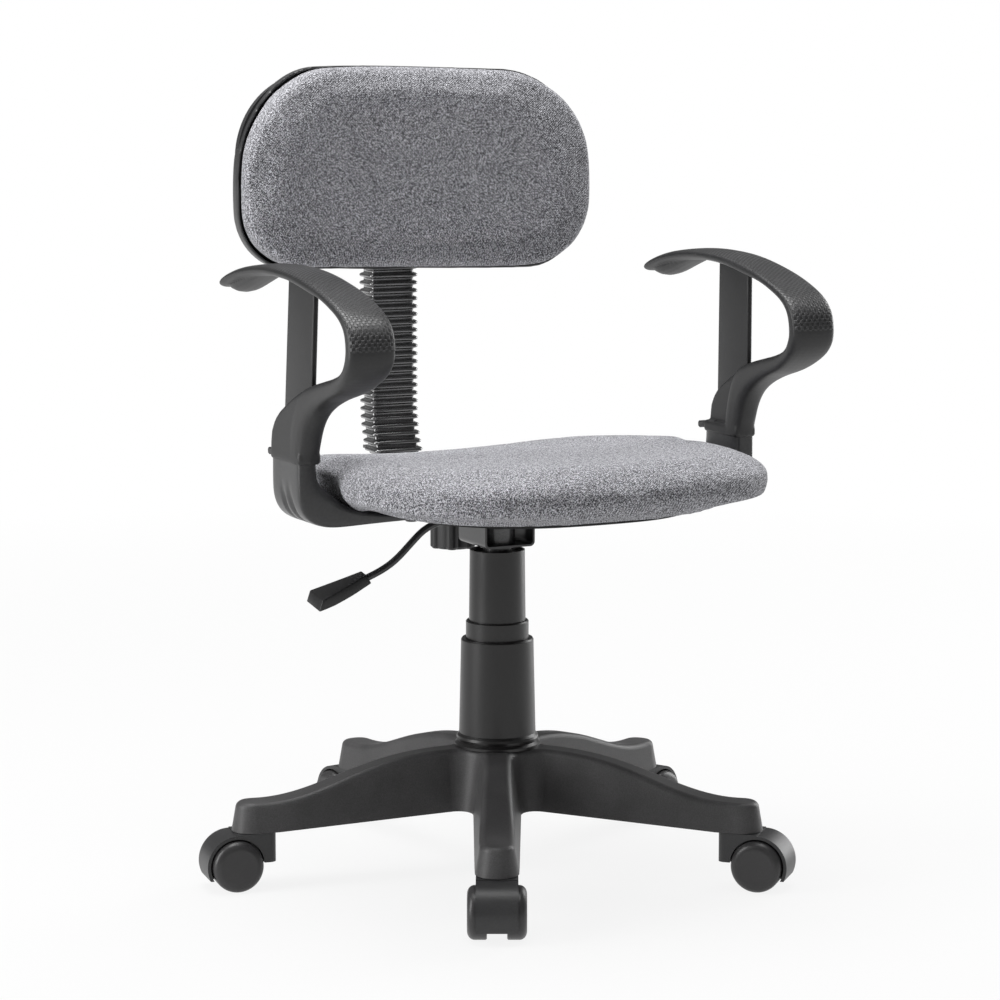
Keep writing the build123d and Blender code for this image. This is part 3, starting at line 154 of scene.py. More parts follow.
# ---------------------------------------------------------------- star base and column tube
# Five-legged base, injection moulded in black glass-filled nylon with a fine spark-eroded
# grain. The steel tube of the gas lift is pressed into its hub.
def moulded(name, tone, rough, grain, depth, clouds=0.18):
    """Plastic: faintly cloudy tone, uneven gloss and a moulded grain of a given size."""
    made, tree, shader = shader_tree(name)
    place = add_node(tree, "ShaderNodeTexCoord")
    cloud = add_node(tree, "ShaderNodeTexNoise", {"Scale": 22.0, "Detail": 3.0})
    fine = add_node(tree, "ShaderNodeTexNoise", {"Scale": 1 / grain, "Detail": 2.0, "Roughness": 0.6})
    tint = add_node(
        tree, "ShaderNodeMapRange",
        {"From Min": 0.3, "From Max": 0.7, "To Min": 1 - clouds, "To Max": 1 + clouds}
    )
    speck = add_node(
        tree, "ShaderNodeMapRange",
        {"From Min": 0.35, "From Max": 0.7, "To Min": 0.85, "To Max": 1.25}
    )
    both = add_node(tree, "ShaderNodeMath", operation="MULTIPLY")
    colour = add_node(tree, "ShaderNodeVectorMath", {0: tone}, operation="SCALE")
    gloss = add_node(tree, "ShaderNodeMapRange", {"To Min": rough - 0.05, "To Max": rough + 0.08})
    bump = add_node(tree, "ShaderNodeBump", {"Strength": 0.6, "Distance": depth})
    link = tree.links.new
    link(place.outputs["Object"], cloud.inputs["Vector"])
    link(place.outputs["Object"], fine.inputs["Vector"])
    link(cloud.outputs["Fac"], tint.inputs["Value"])
    link(fine.outputs["Fac"], speck.inputs["Value"])
    link(tint.outputs["Result"], both.inputs[0])
    link(speck.outputs["Result"], both.inputs[1])
    link(both.outputs[0], colour.inputs["Scale"])
    link(colour.outputs[0], shader.inputs["Base Color"])
    link(cloud.outputs["Fac"], gloss.inputs["Value"])
    link(gloss.outputs["Result"], shader.inputs["Roughness"])
    link(fine.outputs["Fac"], bump.inputs["Height"])
    link(bump.outputs["Normal"], shader.inputs["Normal"])
    return made


def finish_in(material, *names):
    """Gives CAD nodes their finish."""
    for name in names:
        nodes[name].data.materials.clear()
        nodes[name].data.materials.append(material)


star_nylon = moulded(
    "star_nylon", tone=(0.057, 0.056, 0.057), rough=0.46, grain=0.0011, depth=0.00012
)
finish_in(star_nylon, "base_star")


def painted_steel(name, tone, rough):
    """Black powder coat: even tone, slight orange peel."""
    made = moulded(name, tone, rough, grain=0.0026, depth=0.00005, clouds=0.08)
    shader = made.node_tree.nodes["Principled BSDF"]
    shader.inputs["Coat Weight"].default_value = 0.25
    shader.inputs["Coat Roughness"].default_value = 0.2
    return made


black_coat = painted_steel("black_coat", tone=(0.022, 0.022, 0.023), rough=0.32)
finish_in(black_coat, "column_tube", "gas_cylinder")

# ---------------------------------------------------------------- lift internals
# Rod, ball thrust bearing, spring clip and button are ground or plated steel. The taper
# sleeve is steel in a dark tone that is painted shade for the box round it. The guide bush is
# white acetal and the buffer is rubber. All of them sit
# inside the tube and the mechanism.
bright_steel, tree, shader = shader_tree("bright_steel")
shader.inputs["Metallic"].default_value = 1.0
place = add_node(tree, "ShaderNodeTexCoord")
stretch = add_node(tree, "ShaderNodeMapping", {"Scale": (60.0, 60.0, 2500.0)})
lines = add_node(tree, "ShaderNodeTexNoise", {"Scale": 1.0, "Detail": 3.0})
shade = add_node(tree, "ShaderNodeValToRGB")
shade.color_ramp.elements[0].color = (0.45, 0.45, 0.46, 1)
shade.color_ramp.elements[1].color = (0.68, 0.68, 0.69, 1)
gloss = add_node(tree, "ShaderNodeMapRange", {"To Min": 0.18, "To Max": 0.36})
tree.links.new(place.outputs["Object"], stretch.inputs["Vector"])
tree.links.new(stretch.outputs["Vector"], lines.inputs["Vector"])
tree.links.new(lines.outputs["Fac"], shade.inputs["Fac"])
tree.links.new(shade.outputs["Color"], shader.inputs["Base Color"])
tree.links.new(lines.outputs["Fac"], gloss.inputs["Value"])
tree.links.new(gloss.outputs["Result"], shader.inputs["Roughness"])
finish_in(bright_steel, "piston_rod", "thrust_bearing", "rod_clip", "release_button")
# painted shade: the sleeve's steel is made dark to stand for the shaded box it sits in
sleeve_painted_shade = painted_steel("sleeve_painted_shade", tone=(0.09, 0.09, 0.092), rough=0.24)
finish_in(sleeve_painted_shade, "taper_sleeve")
bush_acetal = moulded(
    "bush_acetal", tone=(0.7, 0.7, 0.67), rough=0.4, grain=0.002, depth=0.00004, clouds=0.04
)
finish_in(bush_acetal, "guide_bush")
buffer_rubber = moulded(
    "buffer_rubber", tone=(0.03, 0.03, 0.03), rough=0.75, grain=0.0009, depth=0.0001
)
finish_in(buffer_rubber, "rod_buffer")

# ---------------------------------------------------------------- telescopic cover
# Three blow-moulded sections in black polypropylene with a satin face; the lower one stands
# on the hub, the middle one rides between, the upper one hangs on the cylinder.
cover_satin = moulded(
    "cover_satin", tone=(0.011, 0.0105, 0.0105), rough=0.33, grain=0.0007, depth=0.00006, clouds=0.1
)
finish_in(cover_satin, "cover_lower", "cover_middle", "cover_upper")

# ---------------------------------------------------------------- casters
# Twin-wheel casters: nylon hoods and wheels with a smooth moulded face, steel stems and
# axles pressed in.
hood_nylon = moulded(
    "hood_nylon", tone=(0.03, 0.03, 0.031), rough=0.4, grain=0.0008, depth=0.00005, clouds=0.1
)
wheel_nylon = moulded(
    "wheel_nylon", tone=(0.034, 0.033, 0.034), rough=0.36, grain=0.0007, depth=0.00004, clouds=0.1
)
for number in range(1, 6):
    caster = f"caster_{number}_"
    finish_in(hood_nylon, caster + "hood")
    finish_in(wheel_nylon, caster + "wheel_left", caster + "wheel_right")
    finish_in(bright_steel, caster + "stem", caster + "axle")

# ---------------------------------------------------------------- seat mechanism and back bar
# Pressed steel plate, box and channel in black powder coat, bolted under the seat board, and
# the bent bar that slides in the channel. Both clamp knobs are moulded, and all bolts and
# screws are oxide black.
finish_in(black_coat, "seat_mechanism", "back_bar")
black_oxide = painted_steel("black_oxide", tone=(0.03, 0.03, 0.031), rough=0.4)
finish_in(black_oxide, "seat_bolts", "arm_bolts", "back_screws")
knob_plastic = moulded(
    "knob_plastic", tone=(0.012, 0.012, 0.0125), rough=0.4, grain=0.0008, depth=0.00005, clouds=0.08
)
finish_in(knob_plastic, "depth_knob", "height_knob")

# ---------------------------------------------------------------- seat cushion
# Foam on a plywood board under a tweed cover of grey and black yarn, pulled round the edge
# and stapled underneath, where dust cloth hides the board. The foam swells the cover a little.
def tweed_cloth(name, level):
    """Plain-woven tweed: warp and weft yarns of mixed grey, each a little thick and thin."""
    thread_pair = 0.0028
    made, tree, shader = shader_tree(name)
    link = tree.links.new
    place = add_node(tree, "ShaderNodeTexCoord")
    split = add_node(tree, "ShaderNodeSeparateXYZ")
    link(place.outputs["Object"], split.inputs[0])
    down = add_node(tree, "ShaderNodeMath", operation="ADD")
    link(split.outputs["Y"], down.inputs[0])
    link(split.outputs["Z"], down.inputs[1])
    per_metre = 2 * math.pi / thread_pair
    warp_turn = add_node(tree, "ShaderNodeMath", {1: per_metre}, operation="MULTIPLY")
    weft_turn = add_node(tree, "ShaderNodeMath", {1: per_metre}, operation="MULTIPLY")
    link(split.outputs["X"], warp_turn.inputs[0])
    link(down.outputs[0], weft_turn.inputs[0])
    warp = add_node(tree, "ShaderNodeMath", operation="SINE")
    weft = add_node(tree, "ShaderNodeMath", operation="SINE")
    link(warp_turn.outputs[0], warp.inputs[0])
    link(weft_turn.outputs[0], weft.inputs[0])
    over = add_node(tree, "ShaderNodeMath", operation="MULTIPLY")
    link(warp.outputs[0], over.inputs[0])
    link(weft.outputs[0], over.inputs[1])
    yarns = []
    for scale in ((1150.0, 380.0, 380.0), (380.0, 1150.0, 1150.0)):
        run = add_node(tree, "ShaderNodeMapping", {"Scale": scale})
        link(place.outputs["Object"], run.inputs["Vector"])
        yarn = add_node(tree, "ShaderNodeTexNoise", {"Scale": 1.0, "Detail": 2.0, "Roughness": 0.5})
        link(run.outputs["Vector"], yarn.inputs["Vector"])
        yarns.append(yarn)
    on_top = add_node(tree, "ShaderNodeMapRange", {"From Min": -0.5, "From Max": 0.5})
    link(over.outputs[0], on_top.inputs["Value"])
    mixed = add_node(tree, "ShaderNodeMix", data_type="FLOAT")
    link(on_top.outputs["Result"], mixed.inputs["Factor"])
    link(yarns[0].outputs["Fac"], mixed.inputs["A"])
    link(yarns[1].outputs["Fac"], mixed.inputs["B"])
    fleck = add_node(tree, "ShaderNodeTexNoise", {"Scale": 900.0, "Detail": 1.0, "Roughness": 0.5})
    link(place.outputs["Object"], fleck.inputs["Vector"])
    blend = add_node(tree, "ShaderNodeMix", {"Factor": 0.42}, data_type="FLOAT")
    link(mixed.outputs["Result"], blend.inputs["A"])
    link(fleck.outputs["Fac"], blend.inputs["B"])
    total = add_node(tree, "ShaderNodeMath", {1: 0.04}, operation="MULTIPLY_ADD")
    link(over.outputs[0], total.inputs[0])
    link(blend.outputs["Result"], total.inputs[2])
    shade = add_node(tree, "ShaderNodeValToRGB")
    dark, pale = shade.color_ramp.elements
    dark.position, pale.position = 0.41, 0.59
    dark.color = (0.05 * level, 0.05 * level, 0.054 * level, 1)
    pale.color = (0.78 * level, 0.78 * level, 0.83 * level, 1)
    body = shade.color_ramp.elements.new(0.5)
    body.color = (0.27 * level, 0.27 * level, 0.29 * level, 1)
    link(total.outputs[0], shade.inputs["Fac"])
    link(shade.outputs["Color"], shader.inputs["Base Color"])
    relief = add_node(tree, "ShaderNodeMath", {1: 0.6}, operation="MULTIPLY_ADD")
    link(over.outputs[0], relief.inputs[0])
    link(total.outputs[0], relief.inputs[2])
    bump = add_node(tree, "ShaderNodeBump", {"Strength": 0.7, "Distance": 0.0007})
    link(relief.outputs[0], bump.inputs["Height"])
    link(bump.outputs["Normal"], shader.inputs["Normal"])
    shader.inputs["Roughness"].default_value = 0.92
    shader.inputs["Specular IOR Level"].default_value = 0.25
    shader.inputs["Sheen Weight"].default_value = 0.12
    shader.inputs["Sheen Roughness"].default_value = 0.5
    return made


tweed = tweed_cloth("tweed", level=0.94)
dust_cloth = moulded(
    "dust_cloth", tone=(0.02, 0.02, 0.021), rough=0.85, grain=0.0005, depth=0.0001, clouds=0.12
)
WELD = 0.00002  # points closer than this are one
CREASE = math.radians(50)  # edges sharper than this are bevelled
SHARP = math.radians(40)  # edges sharper than this stay sharp in the shading


def pick(piece):
    """Leaves one piece selected and active."""
    bpy.ops.object.select_all(action="DESELECT")
    piece.select_set(True)
    bpy.context.view_layer.objects.active = piece


def use(piece, kind, **settings):
    """Adds a modifier with its settings and applies it."""
    pick(piece)
    made = piece.modifiers.new("step", kind)
    for key, value in settings.items():
        setattr(made, key, value)
    bpy.ops.object.modifier_apply(modifier=made.name)


def merged_copy(node, name):
    """A copy of a solid's mesh with its doubles merged, bare of materials."""
    piece = bpy.data.objects.new(name, nodes[node].data.copy())
    scene.collection.objects.link(piece)
    piece.data.materials.clear()
    pick(piece)
    bpy.ops.object.mode_set(mode="EDIT")
    bpy.ops.mesh.select_all(action="SELECT")
    bpy.ops.mesh.remove_doubles(threshold=WELD)
    bpy.ops.object.mode_set(mode="OBJECT")
    return piece


def pad_from(node, name, voxel, inward, rounds):
    """A solid's surface in even quads, smoothed for some rounds and drawn in by a depth."""
    piece = merged_copy(node, name)
    use(piece, "REMESH", mode="VOXEL", voxel_size=voxel)
    use(piece, "SMOOTH", factor=0.5, iterations=rounds)
    bpy.ops.object.mode_set(mode="EDIT")
    bpy.ops.mesh.select_all(action="SELECT")
    bpy.ops.transform.shrink_fatten(value=-inward)
    bpy.ops.object.mode_set(mode="OBJECT")
    return piece


def points_of(mesh):
    """The mesh's points as an array of rows."""
    flat = np.zeros(len(mesh.vertices) * 3)
    mesh.vertices.foreach_get("co", flat)
    return flat.reshape(-1, 3)


def set_points(mesh, points):
    """Puts the points back into the mesh."""
    mesh.vertices.foreach_set("co", points.ravel())
    mesh.update()


def swell(piece, pressure, cap, frames, hold):
    """Blows the pad up as cloth, limits each point's travel and keeps held points still."""
    start = points_of(piece.data)
    cloth = piece.modifiers.new("cover", "CLOTH")
    cloth.settings.quality = 6
    cloth.settings.mass = 0.4
    cloth.settings.tension_stiffness = 25
    cloth.settings.compression_stiffness = 25
    cloth.settings.shear_stiffness = 8
    cloth.settings.bending_stiffness = 1.5
    cloth.settings.use_pressure = True
    cloth.settings.uniform_pressure_force = pressure
    cloth.settings.effector_weights.gravity = 0
    cloth.point_cache.frame_start = 1
    cloth.point_cache.frame_end = frames
    for step in range(1, frames + 1):
        scene.frame_set(step)
    swollen = piece.evaluated_get(bpy.context.evaluated_depsgraph_get())
    moved = points_of(swollen.data) - start
    piece.modifiers.remove(cloth)
    scene.frame_set(1)
    travel = np.linalg.norm(moved, axis=1, keepdims=True)
    moved *= np.minimum(1, cap / np.maximum(travel, 1e-9)) * hold(start)[:, None]
    set_points(piece.data, start + moved)


def finish_pad(piece, material, body, node):
    """One subdivision, smooth faces, cloth, and its place on the chair."""
    use(piece, "SUBSURF", levels=1, render_levels=1)
    bpy.ops.object.shade_smooth()
    piece.data.materials.append(material)
    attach(piece, body)
    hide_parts(node)


seat = pad_from("seat_cushion", "seat_cushion_cover", voxel=0.006, inward=0.002, rounds=12)
seat_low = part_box("seat_cushion")[0]


def seat_hold(points):
    """Free on top and round the edge, stapled down underneath."""
    held, freed = 0.004, 0.012
    return np.clip((points[:, 2] - seat_low.z - held) / freed, 0, 1)


swell(seat, pressure=3.0, cap=0.0035, frames=16, hold=seat_hold)


def hill(x, y, at, size):
    """Soft round hill of height 1 about a place in plan."""
    return np.exp(-((x - at[0]) / size[0]) ** 2 - ((y - at[1]) / size[1]) ** 2)


def ramp(values, start, end):
    """Smooth rise from 0 to 1 between two values."""
    share = np.clip((values - start) / (end - start), 0, 1)
    return share * share * (3 - 2 * share)


# the cover is flat under the board, drawn in and up beneath the front corners and at the
# brackets, and hollowed towards the back; depths and heights are in metres
SQUARE_FRONT, SQUARE_REAR = 2.35, 5.0
UNDERSIDE_Z, UNDERSIDE_RISE = 0.3738, 0.0034
REAR_HOLLOW, REAR_SIDE_HOLLOW, MIDDLE_HOLLOW = 0.0051, 0.008, 0.0042
BRACKET_RISE, BRACKET_PULL, BRACKET_SAG = 0.0056, 0.0075, 0.009
CORNER_TUCK, CORNER_DRAW, CORNER_SAG = 0.0077, 0.0046, 0.0058
CORNER_FORWARD, CORNER_FORWARD_LOW, FRONT_FORWARD = 0.0139, 0.0027, 0.0069
board_low, board_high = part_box("seat_board")
board_y, board_deep = (board_low.y + board_high.y) / 2, (board_high.y - board_low.y) / 2
points = points_of(seat.data)
x, y, z = points.T
side = np.sign(x)
# 1 all along the board's edge, which is rounder in front than at the back
squareness = np.where(y < board_y, SQUARE_FRONT, SQUARE_REAR)
reach = (np.abs(x) / board_high.x) ** squareness + (np.abs(y - board_y) / board_deep) ** squareness
reach = reach ** (1 / squareness)
under_board = (reach < 1.03) & (z < 0.388)
upper = ramp(z, 0.396, 0.414)  # the top
lower = 1 - ramp(z, 0.376, 0.398)  # the lower half of the edge
tuck = lower * ramp(reach, 0.97, 1.12)  # where the cover turns under the board
corner = ramp(np.abs(x), 0.05, 0.19) * ramp(-y, 0.05, 0.22)  # the front corners
z[under_board] = UNDERSIDE_Z + UNDERSIDE_RISE * ramp(reach[under_board], 0.7, 1.0)
z -= upper * REAR_HOLLOW * hill(x, y, at=(0, 0.085), size=(0.08, 0.05))
z -= upper * REAR_SIDE_HOLLOW * hill(x, y, at=(-0.09, 0.085), size=(0.06, 0.05))
at_brackets = hill(x, y, at=(0.205, -0.03), size=(0.05, 0.07))
at_brackets += hill(x, y, at=(-0.205, -0.03), size=(0.05, 0.07))
z += BRACKET_RISE * ramp(z, 0.388, 0.41) * at_brackets
z -= upper * MIDDLE_HOLLOW * hill(x, y, at=(0.1, 0.006), size=(0.07, 0.032))
z += CORNER_TUCK * corner * tuck
x -= side * CORNER_DRAW * corner * tuck
y -= corner * (CORNER_FORWARD_LOW * tuck + CORNER_FORWARD * (1 - lower))
z -= CORNER_SAG * corner * (1 - upper) * (1 - lower)
y -= FRONT_FORWARD * ramp(-y, 0.1, 0.25) * (1 - corner) * tuck
pull = ramp(y, -0.09, -0.07) * (1 - ramp(y, -0.005, 0.035)) * ramp(np.abs(x), 0.15, 0.212)
x -= side * BRACKET_PULL * pull * (1 - upper)
z -= BRACKET_SAG * pull * tuck
set_points(seat.data, points)
finish_pad(seat, tweed, "seat", "seat_cushion")


def bevel(piece, width, segments):
    """Rounds the sharp edges."""
    use(piece, "BEVEL", width=width, segments=segments, limit_method="ANGLE", angle_limit=CREASE)


# the cover is folded over the board's edge, so only its middle shows, under the dust cloth
SHOWN = 0.86
under_seat = merged_copy("seat_board", "seat_board_covered")
points = points_of(under_seat.data)
points[:, 0] *= SHOWN
points[:, 1] = board_y + (points[:, 1] - board_y) * SHOWN
set_points(under_seat.data, points)
bevel(under_seat, width=0.001, segments=2)
bpy.ops.object.shade_smooth_by_angle(angle=SHARP)
under_seat.data.materials.append(dust_cloth)
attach(under_seat, "seat")
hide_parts("seat_board")

# ---------------------------------------------------------------- back cushion and shell
# A foam pad in the same tweed on a covered plywood panel, pressed into a thin moulded shell
# whose edge shows all round. The housing on the bar is moulded in the same satin plastic.
finish_in(dust_cloth, "back_panel")
back = pad_from("back_cushion", "back_cushion_cover", voxel=0.005, inward=0.0015, rounds=5)
back_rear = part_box("back_cushion")[1].y


def back_hold(points):
    """Free on the face, held where it meets the shell."""
    held, freed = 0.02, 0.02
    return np.clip((back_rear - held - points[:, 1]) / freed, 0, 1)


swell(back, pressure=3.0, cap=0.004, frames=16, hold=back_hold)
shell_satin = moulded(
    "shell_satin", tone=(0.04, 0.04, 0.041), rough=0.32, grain=0.0009, depth=0.00006, clouds=0.1
)
finish_in(shell_satin, "back_bracket")
shell = pad_from("back_shell", "back_shell_moulding", voxel=0.002, inward=0, rounds=6)
shell_low, shell_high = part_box("back_shell")
back_middle = (shell_low.z + shell_high.z) / 2
# the pad's face bulges over the shell's rim, which is bowed and leans back a little
FACE_HALF_W, FACE_HALF_H = 0.188, 0.102
RIM_BOW, RIM_LEAN = 0.011, 0.0035
BULGE_LEFT, BULGE_RIGHT, BULGE_UP = 0.0006, 0.0034, 0.0038
points = points_of(back.data)
x, y, z = points.T
u, w = x / FACE_HALF_W, (z - back_middle) / FACE_HALF_H
rim_y = shell_low.y + RIM_BOW * (1 - u ** 2) + RIM_LEAN * w
at_edge = ramp(np.maximum(np.abs(u), np.abs(w)) ** 3, 0.5, 1.0)
over_rim = at_edge * (1 - ramp(y, rim_y - 0.004, rim_y + 0.003))
spread = np.column_stack([u ** 5, w ** 5])
spread /= np.maximum(np.linalg.norm(spread, axis=1, keepdims=True), 1e-6)
x += np.where(u < 0, BULGE_RIGHT, BULGE_LEFT) * over_rim * spread[:, 0]
z += BULGE_UP * over_rim * spread[:, 1]
set_points(back.data, points)
# pad and shell are fuller at the lower corners and rounder at the upper ones
BACK_HALF_W, BACK_HALF_H = 0.19, 0.1
for piece in (back, shell):
    points = points_of(piece.data)
    x, y, z = points.T
    u, w = x / BACK_HALF_W, (z - back_middle) / BACK_HALF_H
    x += u * (0.0127 - 0.0089 * u ** 2 - 0.0129 * w ** 2)
    x += 0.0039 * u ** 2 + 0.0014 * w ** 2 - 0.0051 * u * w
    x += w * (0.0001 + 0.0006 * u ** 2 + 0.0004 * w ** 2)
    z += w * (0.0114 * u ** 2 + 0.0028 * w ** 2 - 0.0055)
    z += 0.0008 * w ** 2 - 0.0028 * u ** 2 + 0.0007 * u * w
    z += u * (0.0042 * u ** 2 - 0.0043 * w ** 2 - 0.0013)
    set_points(piece.data, points)
finish_pad(back, tweed, "backrest", "back_cushion")
pick(shell)
bpy.ops.object.shade_smooth_by_angle(angle=SHARP)
shell.data.materials.append(shell_satin)
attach(shell, "backrest")
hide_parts("back_shell")

# ---------------------------------------------------------------- arms
# Loop arms moulded in one piece: a crowned pad with a chequered grip turns round a broad bulge
# into a neck, the neck runs down into the sleeve, and a flat post braces the pad. The loop
# leans in a little, slides on its bracket's steel tongue and is held by a sprung tab behind.
ARM_TONE = (0.026, 0.026, 0.027)
arm_plastic = moulded("arm_plastic", ARM_TONE, rough=0.44, grain=0.0013, depth=0.00014)
arm_low, arm_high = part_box("arm_loop_left")
arm_x = (arm_low.x + arm_high.x) / 2
mm = 0.001


def chequered(name):
    """The arm's plastic with a raised chequer that follows the pad where its grip is marked."""
    two_cells = 0.0056
    made = moulded(name, ARM_TONE, rough=0.44, grain=0.0013, depth=0.00014)
    tree = made.node_tree
    link = tree.links.new
    shader = tree.nodes["Principled BSDF"]
    lay = add_node(tree, "ShaderNodeAttribute", attribute_name="pad_lay")
    split = add_node(tree, "ShaderNodeSeparateXYZ")
    link(lay.outputs["Vector"], split.inputs[0])
    waves = []
    for axis in ("X", "Y"):
        turn = add_node(tree, "ShaderNodeMath", {1: 2 * math.pi / two_cells}, operation="MULTIPLY")
        wave = add_node(tree, "ShaderNodeMath", operation="SINE")
        link(split.outputs[axis], turn.inputs[0])
        link(turn.outputs[0], wave.inputs[0])
        waves.append(wave)
    cells = add_node(tree, "ShaderNodeMath", operation="MULTIPLY")
    link(waves[0].outputs[0], cells.inputs[0])
    link(waves[1].outputs[0], cells.inputs[1])
    raised = add_node(tree, "ShaderNodeMapRange", {"From Min": -0.2, "From Max": 0.2})
    link(cells.outputs[0], raised.inputs["Value"])
    marked = add_node(tree, "ShaderNodeMath", operation="MULTIPLY")
    link(raised.outputs["Result"], marked.inputs[0])
    link(split.outputs["Z"], marked.inputs[1])
    bump = add_node(tree, "ShaderNodeBump", {"Strength": 1.0, "Distance": 0.0006})
    link(marked.outputs[0], bump.inputs["Height"])
    link(tree.nodes["Bump"].outputs["Normal"], bump.inputs["Normal"])
    link(bump.outputs["Normal"], shader.inputs["Normal"])
    smooth = add_node(tree, "ShaderNodeMath", {1: -0.16}, operation="MULTIPLY_ADD")
    link(marked.outputs[0], smooth.inputs[0])
    link(shader.inputs["Roughness"].links[0].from_socket, smooth.inputs[2])
    link(smooth.outputs[0], shader.inputs["Roughness"])
    paler = add_node(tree, "ShaderNodeMath", {1: 1.3, 2: 0.62}, operation="MULTIPLY_ADD")
    link(marked.outputs[0], paler.inputs[0])
    toned = add_node(tree, "ShaderNodeVectorMath", operation="SCALE")
    link(shader.inputs["Base Color"].links[0].from_socket, toned.inputs[0])
    link(paler.outputs[0], toned.inputs["Scale"])
    link(toned.outputs[0], shader.inputs["Base Color"])
    return made


pad_plastic = chequered("pad_plastic")


def outward(piece):
    """Merges doubles and turns every face outwards."""
    bpy.context.view_layer.objects.active = piece
    bpy.ops.object.mode_set(mode="EDIT")
    bpy.ops.mesh.select_all(action="SELECT")
    bpy.ops.mesh.remove_doubles(threshold=WELD)
    bpy.ops.mesh.normals_make_consistent(inside=False)
    bpy.ops.object.mode_set(mode="OBJECT")
    # the operator can turn a bent body inside out, and its volume is negative then
    volume = sum(face.area * face.normal.dot(face.center) / 3 for face in piece.data.polygons)
    if volume < 0:
        piece.data.flip_normals()


def chain(name, rings):
    """A closed body: the first ring is filled and its face extruded from ring to ring."""
    bpy.ops.object.select_all(action="DESELECT")
    bpy.ops.mesh.primitive_circle_add(vertices=len(rings[0]), fill_type="NGON")
    piece = bpy.context.object
    piece.name = name
    for vertex, place in zip(piece.data.vertices, rings[0]):
        vertex.co = place
    for last, ring in zip(rings, rings[1:]):
        bpy.ops.object.mode_set(mode="EDIT")
        bpy.ops.mesh.select_mode(type="FACE")
        bpy.ops.mesh.extrude_region_move()
        bpy.ops.object.mode_set(mode="OBJECT")
        at = np.array(last)
        for vertex in piece.data.vertices:
            if vertex.select:
                gap = np.linalg.norm(at - np.array(vertex.co), axis=1)
                vertex.co = ring[int(gap.argmin())]
    outward(piece)
    return piece


def plate(name, outline, x0, x1, edge, steps):
    """A flat plate from a side outline (y, z) in mm, extruded from x0 to x1 and bevelled."""
    bpy.ops.object.select_all(action="DESELECT")
    bpy.ops.mesh.primitive_circle_add(vertices=len(outline), fill_type="NGON")
    piece = bpy.context.object
    piece.name = name
    for vertex, (y, z) in zip(piece.data.vertices, outline):
        vertex.co = (x0, y * mm, z * mm)
    bpy.ops.object.mode_set(mode="EDIT")
    bpy.ops.mesh.select_mode(type="FACE")
    bpy.ops.mesh.select_all(action="SELECT")
    bpy.ops.mesh.extrude_region_move(TRANSFORM_OT_translate={"value": (x1 - x0, 0, 0)})
    bpy.ops.object.mode_set(mode="OBJECT")
    outward(piece)
    bevel(piece, width=edge, segments=steps)
    return piece


def joined(pieces, name):
    """Joins pieces into the first one and names it."""
    bpy.ops.object.select_all(action="DESELECT")
    for each in pieces:
        each.select_set(True)
    bpy.context.view_layer.objects.active = pieces[0]
    bpy.ops.object.join()
    pieces[0].name = name
    return pieces[0]


def drawn(stations, steps):
    """Stations joined by a smooth curve, with so many steps between neighbours."""
    rows = np.array(stations, float)
    ends = np.vstack([2 * rows[0] - rows[1], rows, 2 * rows[-1] - rows[-2]])
    out = []
    for a, b, c, d in zip(ends, ends[1:], ends[2:], ends[3:]):
        square, cube = 2 * a - 5 * b + 4 * c - d, 3 * b - a - 3 * c + d
        for t in np.arange(steps) / steps:
            out.append(0.5 * (2 * b + (c - a) * t + square * t ** 2 + cube * t ** 3))
    return np.array(out + [rows[-1]])


# All outlines are in mm. Along the band, from its tail to the sleeve: outer point (y, z),
# inner point (y, z), half width and squareness of the section.
BAND = [
    (101, 582, 100, 578, 12, 0), (98, 584.2, 96.5, 578.4, 16.6, 0),
    (88, 588.3, 87, 580.5, 19.8, 0), (68, 594.6, 68, 585.8, 21, 0),
    (40, 600.8, 40, 591.2, 21.3, 0), (0, 605.3, 0, 596, 21.3, 0),
    (-32, 606, -30, 597, 21.3, 0), (-64, 604.8, -61, 595.6, 21.4, 0.1),
    (-94, 601.5, -88, 592.4, 21.6, 0.3), (-124, 596, -115, 588, 21.8, 0.5),
    (-152, 589, -140, 584.5, 22, 0.75), (-180, 579.5, -163, 578.5, 22.3, 1),
    (-200, 569.5, -183, 570.5, 22.4, 1), (-211.5, 557.5, -195, 561, 22.4, 1),
    (-215, 544, -200, 549, 22.4, 1), (-213.5, 531, -200, 538, 22.2, 1),
    (-206, 520.5, -194, 527, 21.5, 1), (-192, 510.5, -183, 520, 20, 1),
    (-170, 500.5, -163, 514, 18, 1), (-141, 492, -137, 508.5, 15.8, 1),
    (-117, 482.5, -110, 502.5, 14, 1), (-101, 472, -84, 494, 12.8, 1),
    (-90.5, 459, -68, 476, 12, 1), (-84.5, 445, -58, 450, 11.5, 1),
    (-81, 435, -56, 434, 11.3, 1), (-80, 426, -56, 426, 11.3, 1)
]
# Across the band: share of the half width, share of the way from the outer to the inner side.
# The pad has a thin lip over a narrower underside, the neck is square.
LIPPED = [
    (0, -0.08), (0.34, -0.06), (0.64, 0.0), (0.84, 0.1), (0.96, 0.24), (1.0, 0.42),
    (0.99, 0.6), (0.9, 0.74), (0.72, 0.92), (0.4, 1.0), (0, 1.02)
]
SQUARE = [
    (0, -0.07), (0.34, -0.055), (0.64, -0.01), (0.83, 0.06), (0.95, 0.17), (1.0, 0.33),
    (1.0, 0.66), (0.96, 0.85), (0.84, 0.97), (0.45, 1.0), (0, 1.02)
]
LIPPED += [(-across, depth) for across, depth in LIPPED[-2:0:-1]]
SQUARE += [(-across, depth) for across, depth in SQUARE[-2:0:-1]]
# side outlines (y, z) of the flat post, the sleeve's thin rear panel and its collar
POST = [(-88, 484), (-27, 456), (-34, 601), (-92, 597)]
PANEL = [
    (-70, 426), (-15, 426), (-15.5, 441), (-17.5, 452), (-22.5, 460), (-28, 466),
    (-36, 472), (-48, 478.5), (-64, 486.5), (-84, 495), (-92, 480)
]
COLLAR = [(-80.5, 425.5), (-14.5, 425.5), (-14.5, 436), (-80.5, 436)]
